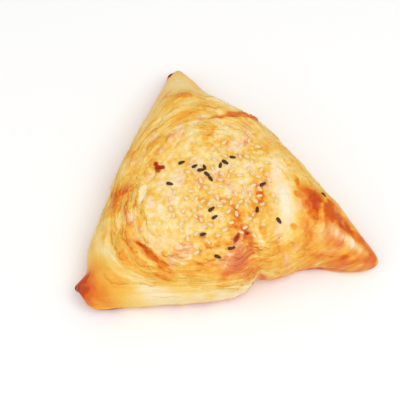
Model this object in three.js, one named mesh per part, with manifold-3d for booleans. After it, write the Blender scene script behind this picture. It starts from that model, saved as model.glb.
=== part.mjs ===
import * as THREE from 'three';
import { mergeVertices } from 'three/addons/utils/BufferGeometryUtils.js';
import Module from 'manifold-3d';

// A baked triangular samosa of flaky dough, rolled in a spiral, folded over its filling and strewn with sesame.
// Millimetres. It lies on z = 0 with its crown up, +X to the right along the front edge, +Y to the back corner.

// Plan of the widest line, seen from above: three corners and the three sides between them
const LEFT_CORNER = [-58.8, -45.9];
const RIGHT_CORNER = [75.5, -29];
const BACK_CORNER = [-15.2, 73.5];
const SIDES = [
  { from: LEFT_CORNER, to: RIGHT_CORNER, bulge: 9.5, squareness: 0.33, neck: 9.2, neckAt: 0.766, neckSpan: 0.146 },
  { from: RIGHT_CORNER, to: BACK_CORNER, bulge: 5.5, squareness: 0.93, neck: 3.8, neckAt: 0.817, neckSpan: 0.114 },
  { from: BACK_CORNER, to: LEFT_CORNER, bulge: 3.9, squareness: 1, neck: 2, neckAt: 0.912, neckSpan: 0.041 },
];

// The left corner's pinched tip, and where the widest line was pressed: direction from the swirl, half width, reach
const BEAK_TIP = [-58.6, -41];
const PINCHES = [
  { bearing: -2.656, span: 0.034, reach: 2 },
  { bearing: -2.565, span: 0.05, reach: -2.2 },
  { bearing: -2.44, span: 0.06, reach: 1.8 },
  { bearing: -1.0, span: 0.13, reach: -3.0 },
  { bearing: -0.17, span: 0.08, reach: 1.2 },
  { bearing: 0.42, span: 0.1, reach: -1.9 },
  { bearing: 1.84, span: 0.03, reach: 2.4 },
];

// Heights and the undercut foot
const CROWN_HEIGHT = 37;
const RIM_HEIGHT = 8;
const UNDERCUT = 9;
const FLAT_TOP_FROM = 0.72;
const FLAT_TOP_SOFTNESS = 1.6;

// Filling pressure: the product of the three distances to the sides, against this distance cubed
const FULL_DISTANCE = 37;
const RIM_LEVEL = 0.005;

// Spiral of dough layers
const SWIRL = [2, -9];
const SWIRL_REACH = 47;
const SWIRL_MARGIN = 0.93;
const SWIRL_SHARE = 0.7;
const LAYER_PITCH = 5.4;
const LAYER_STEP = 0.75;
const LAYER_EDGE = 0.8;
const LAYER_WOBBLE = [{ waves: 3, phase: 0.6, size: 0.16 }, { waves: 7, phase: 2.2, size: 0.1 }];
const NOMINAL_RADIUS = 62;

// Where the layers show: faint in the middle and on the stretched ears, plainest at the left, the front and the back
const LAYERS_FADE_IN = [0.3, 0.6];
const LAYERS_FADE_OUT = [0.86, 0.98];
const RIM_FAINTNESS = 0.6;
const LAYER_LEAST = 0.35;
const PLAIN_BEARING = -2.5;
const BACK_BEARING = 1.7;
const BACK_SPAN = 0.6;
const EAR_RADII = [48, 58];
const EAR_CALM = 0.55;
const LEFT_EAR = { bearing: -2.6, span: 0.5, calm: 0.4 };

// Mesh steps; the sectors between two corners crowd towards the corners
const SECTORS_PER_SIDE = [30, 27, 27];
const CORNER_CROWDING = 0.4;
const CROWN_RINGS = 37;
const RING_CROWDING = 1.5;
const FOOT_RINGS = 4;

// How the relief leans from upright on the crown to nearly level at the rim, and how calm it is there
const RIM_LEAN = 0.85;
const LEAN_POWER = 5;
const CALM_RIM = [0.85, 1];
const CALM_SHARE = 0.55;

// Halvings that find the rim between the nearest and the farthest it can be
const RIM_SEARCH = { near: 15, far: 115, steps: 36 };

// Grooves and lifted layer edges, each along a bowed line; the lip stands on the left of the way from -> to
const FOLDS = [
  { name: 'front gash', from: [-15, -42.5], to: [-33, -28], bow: -1.5, width: 1.5, depth: 1.5, lip: 1.0 },
  { name: 'back lip', from: [-1, 29], to: [22, 31], bow: 3.2, width: 1.5, depth: 1.0, lip: -0.9 },
  { name: 'middle crease', from: [18, -17], to: [12, -32], bow: 1.5, width: 1.3, depth: 0.9, lip: 0.4 },
  { name: 'neck fold', from: [47, -12], to: [43, -30], bow: -1.5, width: 2.1, depth: 1.3, lip: 0.6 },
  { name: 'neck second fold', from: [40.5, -16], to: [37, -31], bow: -1.5, width: 1.8, depth: 0.8, lip: 0.5 },
  { name: 'right ear fold', from: [50, -9], to: [66, -27], bow: 1.5, width: 1.7, depth: 0.9, lip: 0.6 },
  { name: 'back ear fold', from: [-10, 66], to: [4, 35], bow: -1.5, width: 1.7, depth: 0.8, lip: 0.8 },
  { name: 'left ear ribbon', from: [-48, -14], to: [-20, -47], bow: -5, width: 1.6, depth: 0.8, lip: 0.7 },
];
const LIP_OFFSET = 1.7;
const LIP_SPREAD = 1.3;

// Blisters and hollows pressed up by the filling and the steam
const BLISTERS = [
  { at: [43, -5], across: [8, 5], turn: -0.6, rise: 1.3 },
  { at: [56, -15.5], across: [9, 4], turn: -0.75, rise: 1.2 },
  { at: [33, -17], across: [4, 12], turn: 0.1, rise: 1.0 },
  { at: [-8, -21], across: [13, 9], turn: 0.2, rise: 0.9 },
  { at: [-25, -20], across: [9, 8], turn: 0.5, rise: 0.8 },
  { at: [3, 12], across: [16, 9], turn: 0, rise: 0.7 },
  { at: [15, -40], across: [6, 4], turn: 0.2, rise: -1.1 },
  { at: [26, -6], across: [4, 9], turn: -0.2, rise: -0.8 },
  { at: [-37, -42], across: [9, 6], turn: -0.5, rise: 0.8 },
  { at: [-14, 40], across: [7, 6], turn: 0.9, rise: 0.8 },
  { at: [-33, 2], across: [5, 13], turn: 0.2, rise: 0.7 },
  { at: [-56.5, -41], across: [3, 2.2], turn: 0.4, rise: 2.4 },
];

// Slow unevenness of the whole crust: wavelength, heading and height
const SWELLS = [
  { length: 31, heading: 0.4, phase: 0.7, rise: 0.45 },
  { length: 23, heading: 1.9, phase: 2.1, rise: 0.35 },
  { length: 15, heading: 2.8, phase: 4.0, rise: 0.22 },
];

// Sesame
const BLACK_SESAME = [
  [-12, 5.9, 0.4], [-3.6, 1.6, 0.05], [-2.1, 3, 1.9], [-0.9, -0.6, -0.8], [0.6, -3, -1.0], [4.8, 3.6, 1.4],
  [6.9, 5.2, -0.6], [10.2, 7.9, -0.1], [-17, -4.7, -0.3], [23.1, -4.1, 0.5], [49.8, -6.3, -0.9], [0.9, -17.2, 0.7],
  [2.2, -20.9, 0.6], [20.4, -16.8, 1.5], [29.6, -20.8, -1.0], [-2.6, -28.4, 0.3], [9.3, -33.5, 0.2],
  [3.5, -36.9, -0.4], [-6.3, 3.7, 0.5],
];
const BLACK_SEED_SIZE = [3.1, 1.9, 1.1];
const WHITE_SEED_SIZE = [2.9, 1.8, 1.0];
const WHITE_COUNT = 60;
const WHITE_CENTRE = [6, -9];
const WHITE_REACH = [25, 31];
const WHITE_TURN = -0.45;
const SEED_CLEARANCE = 2.7;
const SEED_LIFT = 0.12;
const SEED_TAPER = 0.42;
const DRAW_START = 7159;

const CRUST_COLOUR = 0xf3c47a;

const smoothstep = (low, high, value) => {
  const t = Math.min(Math.max((value - low) / (high - low), 0), 1);
  return t * t * (3 - 2 * t);
};

// A smooth hump, 1 at no offset and near 0 past twice its span
const hump = (offset, span) => Math.exp(-((offset / span) ** 2));

const wrapped = (angle) => Math.atan2(Math.sin(angle), Math.cos(angle));

// Distance from a point to a side's bulged line, positive on the inside; necked counts its pinched waist
function sideDistance(side, x, y, necked) {
  const run = [side.to[0] - side.from[0], side.to[1] - side.from[1]];
  const length = Math.hypot(...run);
  const along = [run[0] / length, run[1] / length];
  const rel = [x - side.from[0], y - side.from[1]];
  const t = Math.min(Math.max((rel[0] * along[0] + rel[1] * along[1]) / length, 0), 1);
  const straight = rel[1] * along[0] - rel[0] * along[1];
  const bulge = side.bulge * Math.sin(Math.PI * t) ** side.squareness;
  const neck = necked ? side.neck * hump(t - side.neckAt, side.neckSpan) : 0;
  return straight + bulge - neck;
}

// How full of filling the pastry is under a point: 0 outside, about 1 and more in the middle
function fullness(x, y, necked = true) {
  const inside = SIDES.map((side) => Math.max(sideDistance(side, x, y, necked), 0));
  return (inside[0] * inside[1] * inside[2]) / FULL_DISTANCE ** 3;
}

// Radius of the widest line in one direction from the swirl's middle
function rimRadius(angle, necked = true) {
  let inside = RIM_SEARCH.near;
  let outside = RIM_SEARCH.far;
  for (let step = 0; step < RIM_SEARCH.steps; step += 1) {
    const middle = (inside + outside) / 2;
    const full = fullness(SWIRL[0] + middle * Math.cos(angle), SWIRL[1] + middle * Math.sin(angle), necked);
    if (full > RIM_LEVEL) inside = middle;
    else outside = middle;
  }
  const pinched = PINCHES.reduce((sum, { bearing, span, reach }) => (
    sum + reach * hump(wrapped(angle - bearing), span)
  ), 0);
  return (inside + outside) / 2 + pinched;
}

// Radius where the round rings of the swirl end and the rings start to follow the outline
function swirlRadius(rim) {
  const blend = -6;
  return ((SWIRL_MARGIN * rim) ** blend + SWIRL_REACH ** blend) ** (1 / blend);
}

function ringRadius(share, rim) {
  const swirl = swirlRadius(rim);
  if (share < SWIRL_SHARE) return (share / SWIRL_SHARE) * swirl;
  return swirl + ((share - SWIRL_SHARE) / (1 - SWIRL_SHARE)) * (rim - swirl);
}

// The layers of dough ignore the necks, so their lines run out at a pinched waist; 0 in the middle, 1 at the rim
function layerShare(radius, angle) {
  const rim = rimRadius(angle, false);
  const swirl = swirlRadius(rim);
  if (radius < swirl) return (radius / swirl) * SWIRL_SHARE;
  return SWIRL_SHARE + ((radius - swirl) / (rim - swirl)) * (1 - SWIRL_SHARE);
}

// Directions of the sectors, clockwise from the beak's tip round by the back and the right corner
function sectorAngles() {
  const tips = [BEAK_TIP, RIGHT_CORNER, BACK_CORNER];
  const bearings = tips.map(([x, y]) => Math.atan2(y - SWIRL[1], x - SWIRL[0]));
  return bearings.flatMap((start, index) => {
    const span = (bearings[(index + 1) % tips.length] - start + 2 * Math.PI) % (2 * Math.PI);
    const count = SECTORS_PER_SIDE[index];
    return Array.from({ length: count }, (_, step) => {
      const even = step / count;
      return start + span * (even - (CORNER_CROWDING * Math.sin(2 * Math.PI * even)) / (2 * Math.PI));
    });
  }).reverse();
}

// Smooth crown height over a point of the plan
function crownHeight(x, y) {
  const pressure = Math.max((fullness(x, y) - RIM_LEVEL) / (1 - RIM_LEVEL), 0);
  const height = RIM_HEIGHT + (CROWN_HEIGHT - RIM_HEIGHT) * Math.sqrt(pressure);
  const knee = CROWN_HEIGHT * FLAT_TOP_FROM;
  const room = CROWN_HEIGHT - knee;
  return height > knee ? knee + room * Math.tanh((height - knee) / (room * FLAT_TOP_SOFTNESS)) : height;
}

// Steps of the spiral layers: each rises gently outwards and drops at its outer edge
function layerStep(radius, bearing) {
  const share = layerShare(radius, bearing);
  const angle = wrapped(bearing);
  const wobble = LAYER_WOBBLE.reduce((sum, { waves, phase, size }) => sum + size * Math.sin(waves * angle + phase), 0);
  const layer = (share * NOMINAL_RADIUS) / LAYER_PITCH - angle / (2 * Math.PI) + wobble;
  const part = layer - Math.floor(layer);
  const profile = part < LAYER_EDGE ? part / LAYER_EDGE : (1 - part) / (1 - LAYER_EDGE);
  const leftAndFront = 0.5 + 0.5 * Math.cos(angle - PLAIN_BEARING);
  const plain = Math.min(leftAndFront + hump(angle - BACK_BEARING, BACK_SPAN), 1);
  const fade = smoothstep(...LAYERS_FADE_IN, share) * (1 - RIM_FAINTNESS * smoothstep(...LAYERS_FADE_OUT, share));
  const leftEar = LEFT_EAR.calm * hump(wrapped(angle - LEFT_EAR.bearing), LEFT_EAR.span);
  const calm = 1 - (EAR_CALM + leftEar) * smoothstep(...EAR_RADII, radius);
  return LAYER_STEP * (profile - 0.5) * calm * fade * (LAYER_LEAST + (1 - LAYER_LEAST) * plain);
}

function foldRelief(fold, x, y) {
  const run = [fold.to[0] - fold.from[0], fold.to[1] - fold.from[1]];
  const length = Math.hypot(...run);
  const rel = [x - fold.from[0], y - fold.from[1]];
  const t = (rel[0] * run[0] + rel[1] * run[1]) / length ** 2;
  const bowed = fold.bow * 4 * t * (1 - t);
  const offset = (rel[1] * run[0] - rel[0] * run[1]) / length - bowed;
  const ends = smoothstep(-0.1, 0.15, t) * (1 - smoothstep(0.85, 1.1, t));
  const groove = -fold.depth * hump(offset, fold.width);
  const side = Math.sign(fold.lip);
  const lip = hump(offset - side * LIP_OFFSET * fold.width, LIP_SPREAD * fold.width);
  return ends * (groove + Math.abs(fold.lip) * lip);
}

function blisterRelief(blister, x, y) {
  const rel = [x - blister.at[0], y - blister.at[1]];
  const along = rel[0] * Math.cos(blister.turn) + rel[1] * Math.sin(blister.turn);
  const aside = rel[1] * Math.cos(blister.turn) - rel[0] * Math.sin(blister.turn);
  return blister.rise * hump(along, blister.across[0]) * hump(aside, blister.across[1]);
}

function swellRelief(swell, x, y) {
  const way = x * Math.cos(swell.heading) + y * Math.sin(swell.heading);
  return swell.rise * Math.sin((2 * Math.PI * way) / swell.length + swell.phase);
}

// Everything that stands out of or sinks into the smooth crown at one place
function relief(share, radius, angle, x, y) {
  const folds = FOLDS.reduce((sum, fold) => sum + foldRelief(fold, x, y), 0);
  const blisters = BLISTERS.reduce((sum, blister) => sum + blisterRelief(blister, x, y), 0);
  const swells = SWELLS.reduce((sum, swell) => sum + swellRelief(swell, x, y), 0);
  const calmRim = 1 - CALM_SHARE * smoothstep(...CALM_RIM, share);
  return layerStep(radius, angle) + calmRim * (folds + blisters + swells);
}

// Rings crowd together towards the rim, where the wall turns steep
function crownShare(ring) {
  const even = ring / CROWN_RINGS;
  if (even <= SWIRL_SHARE) return even;
  const rest = (even - SWIRL_SHARE) / (1 - SWIRL_SHARE);
  return SWIRL_SHARE + (1 - SWIRL_SHARE) * (1 - (1 - rest) ** RING_CROWDING);
}

function crownPoint(ring, angle) {
  const share = crownShare(ring);
  const radius = ringRadius(share, rimRadius(angle));
  const x = SWIRL[0] + radius * Math.cos(angle);
  const y = SWIRL[1] + radius * Math.sin(angle);
  const lean = (Math.PI / 2) * RIM_LEAN * share ** LEAN_POWER;
  const out = relief(share, radius, angle, x, y);
  return [
    x + out * Math.sin(lean) * Math.cos(angle),
    y + out * Math.sin(lean) * Math.sin(angle),
    crownHeight(x, y) + out * Math.cos(lean),
  ];
}

// The rounded wall under the rim, down to the flat base
function footPoint(ring, angle) {
  const turn = (Math.PI / 2) * Math.min(ring / FOOT_RINGS, 1);
  const rim = crownPoint(CROWN_RINGS, angle);
  const inset = UNDERCUT * (1 - Math.cos(turn));
  return [
    rim[0] - inset * Math.cos(angle),
    rim[1] - inset * Math.sin(angle),
    ring >= FOOT_RINGS ? 0 : rim[2] * (1 - Math.sin(turn)),
  ];
}

// Drops everything but the shared corners, and the empty triangles at the poles
function closedGeometry(geometry) {
  geometry.deleteAttribute('normal');
  geometry.deleteAttribute('uv');
  const merged = mergeVertices(geometry, 1e-4);
  const corners = merged.index.array;
  const kept = [];
  for (let i = 0; i < corners.length; i += 3) {
    const [a, b, c] = [corners[i], corners[i + 1], corners[i + 2]];
    if (a !== b && b !== c && c !== a) kept.push(a, b, c);
  }
  merged.setIndex(kept);
  return merged;
}

// A turned half circle gives the rings and sectors; every point then moves to its place on the crust
function makeCrust() {
  const lastRing = CROWN_RINGS + FOOT_RINGS + 1;
  const profile = [];
  for (let ring = 0; ring <= lastRing; ring += 1) {
    const turn = (Math.PI * ring) / lastRing;
    profile.push(new THREE.Vector2(ring === 0 || ring === lastRing ? 0 : Math.sin(turn), -Math.cos(turn)));
  }
  const angles = sectorAngles();
  const geometry = new THREE.LatheGeometry(profile, angles.length);
  const position = geometry.attributes.position;
  for (let i = 0; i < position.count; i += 1) {
    const ring = i % profile.length;
    const angle = angles[Math.floor(i / profile.length) % angles.length];
    if (ring === lastRing) position.setXYZ(i, SWIRL[0], SWIRL[1], 0);
    else if (ring === 0) position.setXYZ(i, ...crownPoint(0, 0));
    else if (ring <= CROWN_RINGS) position.setXYZ(i, ...crownPoint(ring, angle));
    else position.setXYZ(i, ...footPoint(ring - CROWN_RINGS, angle));
  }
  return closedGeometry(geometry);
}

// A teardrop seed, one unit long along Y before it is sized
function makeSeed([length, width, thickness], sides, rings) {
  const geometry = new THREE.SphereGeometry(0.5, sides, rings);
  const position = geometry.attributes.position;
  for (let i = 0; i < position.count; i += 1) {
    const y = position.getY(i);
    const girth = 1 - SEED_TAPER * (y + 0.5);
    position.setXYZ(i, position.getX(i) * girth * width, y * length, position.getZ(i) * girth * thickness);
  }
  return closedGeometry(geometry);
}

// Repeatable draws between 0 and 1
function makeDraw(start) {
  const MULTIPLIER = 16807;
  const MODULUS = 2147483647;
  let state = start;
  return () => {
    state = (state * MULTIPLIER) % MODULUS;
    return state / MODULUS;
  };
}

// White seeds lie thickest near the middle and keep clear of each other and of the black ones
function scatterWhite() {
  const draw = makeDraw(DRAW_START);
  const placed = BLACK_SESAME.map(([x, y]) => [x, y]);
  const seeds = [];
  while (seeds.length < WHITE_COUNT) {
    const reach = Math.sqrt(draw()) * (0.55 + 0.45 * draw());
    const bearing = 2 * Math.PI * draw();
    const turn = 2 * Math.PI * draw();
    const along = WHITE_REACH[0] * reach * Math.cos(bearing);
    const aside = WHITE_REACH[1] * reach * Math.sin(bearing);
    const x = WHITE_CENTRE[0] + along * Math.cos(WHITE_TURN) - aside * Math.sin(WHITE_TURN);
    const y = WHITE_CENTRE[1] + along * Math.sin(WHITE_TURN) + aside * Math.cos(WHITE_TURN);
    if (placed.every(([px, py]) => Math.hypot(px - x, py - y) > SEED_CLEARANCE)) {
      placed.push([x, y]);
      seeds.push([x, y, turn]);
    }
  }
  return seeds;
}

// Lays a seed flat on the crust under its place, turned by its angle seen from above
function laySeed(seed, crust, [x, y, turn]) {
  const ray = new THREE.Raycaster(new THREE.Vector3(x, y, 2 * CROWN_HEIGHT), new THREE.Vector3(0, 0, -1));
  const hit = ray.intersectObject(crust)[0];
  const up = hit.face.normal.clone();
  const heading = new THREE.Vector3(Math.cos(turn), Math.sin(turn), 0);
  heading.addScaledVector(up, -heading.dot(up)).normalize();
  const across = new THREE.Vector3().crossVectors(heading, up);
  const place = new THREE.Matrix4().makeBasis(across, heading, up);
  place.setPosition(hit.point.addScaledVector(up, SEED_LIFT));
  return seed.clone().applyMatrix4(place);
}

const wasm = await Module();
wasm.setup();

function toSolid(geometry) {
  const vertProperties = Float32Array.from(geometry.attributes.position.array);
  const triVerts = Uint32Array.from(geometry.index.array);
  return new wasm.Manifold(new wasm.Mesh({ numProp: 3, vertProperties, triVerts }));
}

function toGeometry(solid) {
  const mesh = solid.getMesh();
  const geometry = new THREE.BufferGeometry();
  geometry.setAttribute('position', new THREE.BufferAttribute(mesh.vertProperties, 3));
  geometry.setIndex(new THREE.BufferAttribute(mesh.triVerts, 1));
  geometry.computeVertexNormals();
  return geometry;
}

// The crust and every seed on it, joined into one solid
function makeSamosa() {
  const crust = makeCrust();
  const target = new THREE.Mesh(crust);
  const blackSeed = makeSeed(BLACK_SEED_SIZE, 6, 3);
  const whiteSeed = makeSeed(WHITE_SEED_SIZE, 5, 3);
  const seeds = [
    ...BLACK_SESAME.map((place) => laySeed(blackSeed, target, place)),
    ...scatterWhite().map((place) => laySeed(whiteSeed, target, place)),
  ];
  const solid = seeds.reduce((joined, seed) => joined.add(toSolid(seed)), toSolid(crust));
  const material = new THREE.MeshStandardMaterial({ color: CRUST_COLOUR, roughness: 0.55, metalness: 0 });
  const samosa = new THREE.Mesh(toGeometry(solid), material);
  samosa.name = 'samosa';
  return samosa;
}

const pastry = new THREE.Group();
pastry.add(makeSamosa());

export default pastry;
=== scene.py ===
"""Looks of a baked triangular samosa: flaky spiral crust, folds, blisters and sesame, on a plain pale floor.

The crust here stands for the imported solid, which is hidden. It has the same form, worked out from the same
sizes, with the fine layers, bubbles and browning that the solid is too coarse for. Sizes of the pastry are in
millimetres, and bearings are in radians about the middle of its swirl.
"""

import logging
import math
from dataclasses import dataclass
from enum import Enum

import bmesh
import bpy
import numpy as np
from mathutils import Matrix, Vector


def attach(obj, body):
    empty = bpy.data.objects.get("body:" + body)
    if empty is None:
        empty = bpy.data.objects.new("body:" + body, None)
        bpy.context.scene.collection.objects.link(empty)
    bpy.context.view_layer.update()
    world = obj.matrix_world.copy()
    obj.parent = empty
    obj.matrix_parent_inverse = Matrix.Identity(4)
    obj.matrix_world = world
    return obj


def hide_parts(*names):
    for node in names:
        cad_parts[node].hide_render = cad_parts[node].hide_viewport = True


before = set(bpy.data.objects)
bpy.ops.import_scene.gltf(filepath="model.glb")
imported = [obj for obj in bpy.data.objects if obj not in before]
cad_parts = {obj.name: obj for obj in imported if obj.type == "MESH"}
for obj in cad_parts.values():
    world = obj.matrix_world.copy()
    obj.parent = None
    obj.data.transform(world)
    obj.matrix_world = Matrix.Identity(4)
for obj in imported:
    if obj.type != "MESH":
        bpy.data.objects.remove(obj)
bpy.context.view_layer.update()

Array = np.ndarray
Pair = tuple[float, float]
MM = 0.001
WHOLE_TURN = 2 * math.pi
NODE = "samosa"
BODY = "root"
LOG = logging.getLogger("samosa")


def linear(hex_colour: str) -> tuple[float, float, float, float]:
    """Turn an sRGB hex colour into the linear colour that shaders take.

    Args:
        hex_colour: Six hex digits, with or without a leading hash.

    Returns:
        Linear red, green, blue and an alpha of 1.
    """
    digits = hex_colour.lstrip("#")
    channels = [int(digits[i:i + 2], 16) / 255 for i in (0, 2, 4)]
    red, green, blue = [c / 12.92 if c <= 0.04045 else ((c + 0.055) / 1.055) ** 2.4 for c in channels]
    return red, green, blue, 1.0


def smoothstep(low: float, high: float, value: Array) -> Array:
    """Ease from 0 at low to 1 at high.

    Args:
        low: Value where the rise starts.
        high: Value where it ends.
        value: Values to ease.

    Returns:
        The eased values, from 0 to 1.
    """
    t = np.clip((value - low) / (high - low), 0, 1)
    return t * t * (3 - 2 * t)


def hump(offset: Array, width: float) -> Array:
    """A smooth hump, 1 at no offset and near 0 past twice its width."""
    return np.exp(-((offset / width) ** 2))


def wrapped(angle: Array) -> Array:
    """The same angle between minus and plus half a turn."""
    return (angle + np.pi) % WHOLE_TURN - np.pi


def beside(start: Pair, end: Pair, x: Array, y: Array) -> tuple[Array, Array]:
    """Where places lie beside a straight line in the plan.

    Args:
        start: Where the line starts.
        end: Where it ends.
        x: Places across the plan.
        y: Places along the plan.

    Returns:
        Their share of the way along the line, and their offset to its left in millimetres.
    """
    run_x, run_y = end[0] - start[0], end[1] - start[1]
    length = math.hypot(run_x, run_y)
    rel_x, rel_y = x - start[0], y - start[1]
    return (rel_x * run_x + rel_y * run_y) / length ** 2, (rel_y * run_x - rel_x * run_y) / length


def as_mesh(shape: bmesh.types.BMesh, name: str) -> bpy.types.Mesh:
    """Turn a finished bmesh into a mesh and let the bmesh go.

    Args:
        shape: The finished bmesh.
        name: Name of the mesh.

    Returns:
        The mesh.
    """
    mesh = bpy.data.meshes.new(name)
    shape.to_mesh(mesh)
    shape.free()
    return mesh


def place_object(name: str, data: bpy.types.ID) -> bpy.types.Object:
    """Put an object in the scene.

    Args:
        name: Name of the object.
        data: Its mesh, light or camera.

    Returns:
        The object.
    """
    new = bpy.data.objects.new(name, data)
    bpy.context.collection.objects.link(new)
    return new


def new_material(name: str, uniform: dict[str, object]) -> tuple[bpy.types.Material, bpy.types.Node]:
    """Start a material with the values that are the same all over it.

    Args:
        name: Name of the material.
        uniform: Its shader's sockets, by name, and their values.

    Returns:
        The material and its shader.
    """
    material = bpy.data.materials.new(name)
    material.use_nodes = True
    shader = material.node_tree.nodes["Principled BSDF"]
    for socket, value in uniform.items():
        shader.inputs[socket].default_value = value
    return material, shader


def add_node(tree: bpy.types.NodeTree, kind: str, settings: dict | None = None,
             **links: object) -> bpy.types.Node:
    """Add one shader node with its settings and what feeds it.

    Args:
        tree: Node tree that gets the node.
        kind: Blender's name of the node type, without the leading "ShaderNode".
        settings: The node's own properties, by name.
        **links: Input sockets, by name with _ for a space or by place as in i0, and for each the output that
            feeds it or its value.

    Returns:
        The new node.
    """
    node = tree.nodes.new("ShaderNode" + kind)
    for name, value in (settings or {}).items():
        setattr(node, name, value)
    for name, value in links.items():
        key = int(name[1:]) if name[0] == "i" and name[1:].isdigit() else name.replace("_", " ")
        if isinstance(value, bpy.types.NodeSocket):
            tree.links.new(value, node.inputs[key])
        else:
            node.inputs[key].default_value = value
    return node


class TableNoise:
    """Smooth noise from a seeded table that wraps round in both directions."""

    def __init__(self, seed: int, rows: int, columns: int) -> None:
        """Fill the table.

        Args:
            seed: Start of the draws, for the same noise each run.
            rows: Cells before the noise repeats one way.
            columns: Cells before it repeats the other way.
        """
        self.rows, self.columns = rows, columns
        self.table = np.random.RandomState(seed).uniform(-1, 1, (rows, columns))

    def at(self, row: Array, column: Array) -> Array:
        """Read the noise.

        Args:
            row: Places along the rows, in cells.
            column: Places along the columns, in cells.

        Returns:
            Noise from -1 to 1.
        """
        i, j = np.floor(row).astype(int), np.floor(column).astype(int)
        u, v = smoothstep(0, 1, row - i), smoothstep(0, 1, column - j)
        i0, i1, j0, j1 = i % self.rows, (i + 1) % self.rows, j % self.columns, (j + 1) % self.columns
        near = self.table[i0, j0] * (1 - v) + self.table[i0, j1] * v
        far = self.table[i1, j0] * (1 - v) + self.table[i1, j1] * v
        return near * (1 - u) + far * u


STREAKS = TableNoise(11, 64, 40)
FLAKES = TableNoise(12, 128, 150)
PATCHES = TableNoise(13, 32, 32)
PORES = TableNoise(14, 128, 128)


@dataclass(frozen=True)
class Pattern:
    """Noise laid over the plan: its lumps' size in millimetres, its shift in cells, and its strength."""

    noise: TableNoise
    size: Pair
    shift: Pair = (0, 0)
    strength: float = 1.0

    def at(self, x: Array, y: Array) -> Array:
        """The pattern at each place, from minus to plus its strength."""
        row, column = x / self.size[0] + self.shift[0], y / self.size[1] + self.shift[1]
        return self.strength * self.noise.at(row, column)


def blend(patterns: tuple[Pattern, ...], x: Array, y: Array) -> Array:
    """Sum of several patterns at each place."""
    return sum(pattern.at(x, y) for pattern in patterns)


@dataclass(frozen=True)
class Side:
    """One side of the widest line, between two corners; its neck is a waist pinched in beside one."""

    start: Pair
    end: Pair
    bulge: float
    squareness: float
    neck: float
    neck_at: float
    neck_span: float

    def distance(self, x: Array, y: Array, necked: bool) -> Array:
        """Distance to the bulged side, positive on the inside.

        Args:
            x: Places across the plan.
            y: Places along the plan.
            necked: Whether the pinched waist counts.

        Returns:
            The distances in millimetres.
        """
        t, straight = beside(self.start, self.end, x, y)
        t = np.clip(t, 0, 1)
        pinch = self.neck * hump(t - self.neck_at, self.neck_span) if necked else 0
        return straight + self.bulge * np.sin(np.pi * t) ** self.squareness - pinch


@dataclass(frozen=True)
class Fold:
    """A groove along a bowed line, with a lifted layer edge beside it, on the left where lip is positive."""

    start: Pair
    end: Pair
    bow: float
    width: float
    depth: float = 0.0
    lip: float = 0.0
    lip_offset: float = 1.7
    lip_width: float = 1.3
    fade_in: Pair = (-0.1, 0.15)
    fade_out: Pair = (0.85, 1.1)

    def line(self, x: Array, y: Array) -> tuple[Array, Array]:
        """Offset from the bowed line, and how far inside its ends a place is.

        Args:
            x: Places across the plan.
            y: Places along the plan.

        Returns:
            The signed offsets in millimetres, and weights from 0 past the ends to 1 along the line.
        """
        t, straight = beside(self.start, self.end, x, y)
        offset = straight - self.bow * 4 * t * (1 - t)
        return offset, smoothstep(*self.fade_in, t) * (1 - smoothstep(*self.fade_out, t))

    def relief(self, x: Array, y: Array) -> Array:
        """Height of the groove and its lip.

        Args:
            x: Places across the plan.
            y: Places along the plan.

        Returns:
            Heights in millimetres.
        """
        offset, ends = self.line(x, y)
        side = math.copysign(1, self.lip)
        lip = hump(offset - side * self.lip_offset * self.width, self.lip_width * self.width)
        return ends * (abs(self.lip) * lip - self.depth * hump(offset, self.width))


@dataclass(frozen=True)
class Oval:
    """An oval place with soft edges, turned by an angle, and what happens there.

    Its amount is a rise in millimetres, a degree of browning or a weight; red tells how far it runs to pink.
    """

    x: float
    y: float
    along: float
    aside: float
    turn: float
    amount: float
    red: float = 0.0

    def weight(self, x: Array, y: Array) -> Array:
        """How far inside the oval places are.

        Args:
            x: Places across the plan.
            y: Places along the plan.

        Returns:
            Weights from 1 in the oval's middle to 0 outside.
        """
        rel_x, rel_y = x - self.x, y - self.y
        along = rel_x * math.cos(self.turn) + rel_y * math.sin(self.turn)
        aside = rel_y * math.cos(self.turn) - rel_x * math.sin(self.turn)
        return np.exp(-((along / self.along) ** 2) - (aside / self.aside) ** 2)


def ovals(*rows: tuple[float, ...]) -> tuple[Oval, ...]:
    """Ovals from rows of their x, y, reach along and aside, turn, amount and red."""
    return tuple(Oval(*row) for row in rows)


@dataclass(frozen=True)
class Swell:
    """Slow unevenness of the whole crust, as one long wave."""

    length: float
    heading: float
    phase: float
    rise: float

    def relief(self, x: Array, y: Array) -> Array:
        """Height of the wave in millimetres at each place."""
        way = x * math.cos(self.heading) + y * math.sin(self.heading)
        return self.rise * np.sin(WHOLE_TURN * way / self.length + self.phase)


@dataclass(frozen=True)
class Pinch:
    """A nub pinched out of the widest line in one direction, or a cut where its reach is negative."""

    bearing: float
    span: float
    reach: float


@dataclass(frozen=True)
class Spots:
    """Places on the crown.

    Share and layer go from 0 in the swirl's middle to 1 at the rim: share along the mesh's rings, and layer
    along the dough's layers, which ignore the pinched necks.
    """

    share: Array
    bearing: Array
    radius: Array
    x: Array
    y: Array
    layer: Array

    def streaks(self, layers: float, shift: float = 0.0) -> Array:
        """Noise in long streaks along the dough's layers, so many to a radius."""
        return STREAKS.at(self.layer * layers + shift, self.bearing / WHOLE_TURN * STREAKS.columns)


LEFT_CORNER = (-58.8, -45.9)
RIGHT_CORNER = (75.5, -29.0)
BACK_CORNER = (-15.2, 73.5)
BEAK_TIP = (-58.6, -41.0)


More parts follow.
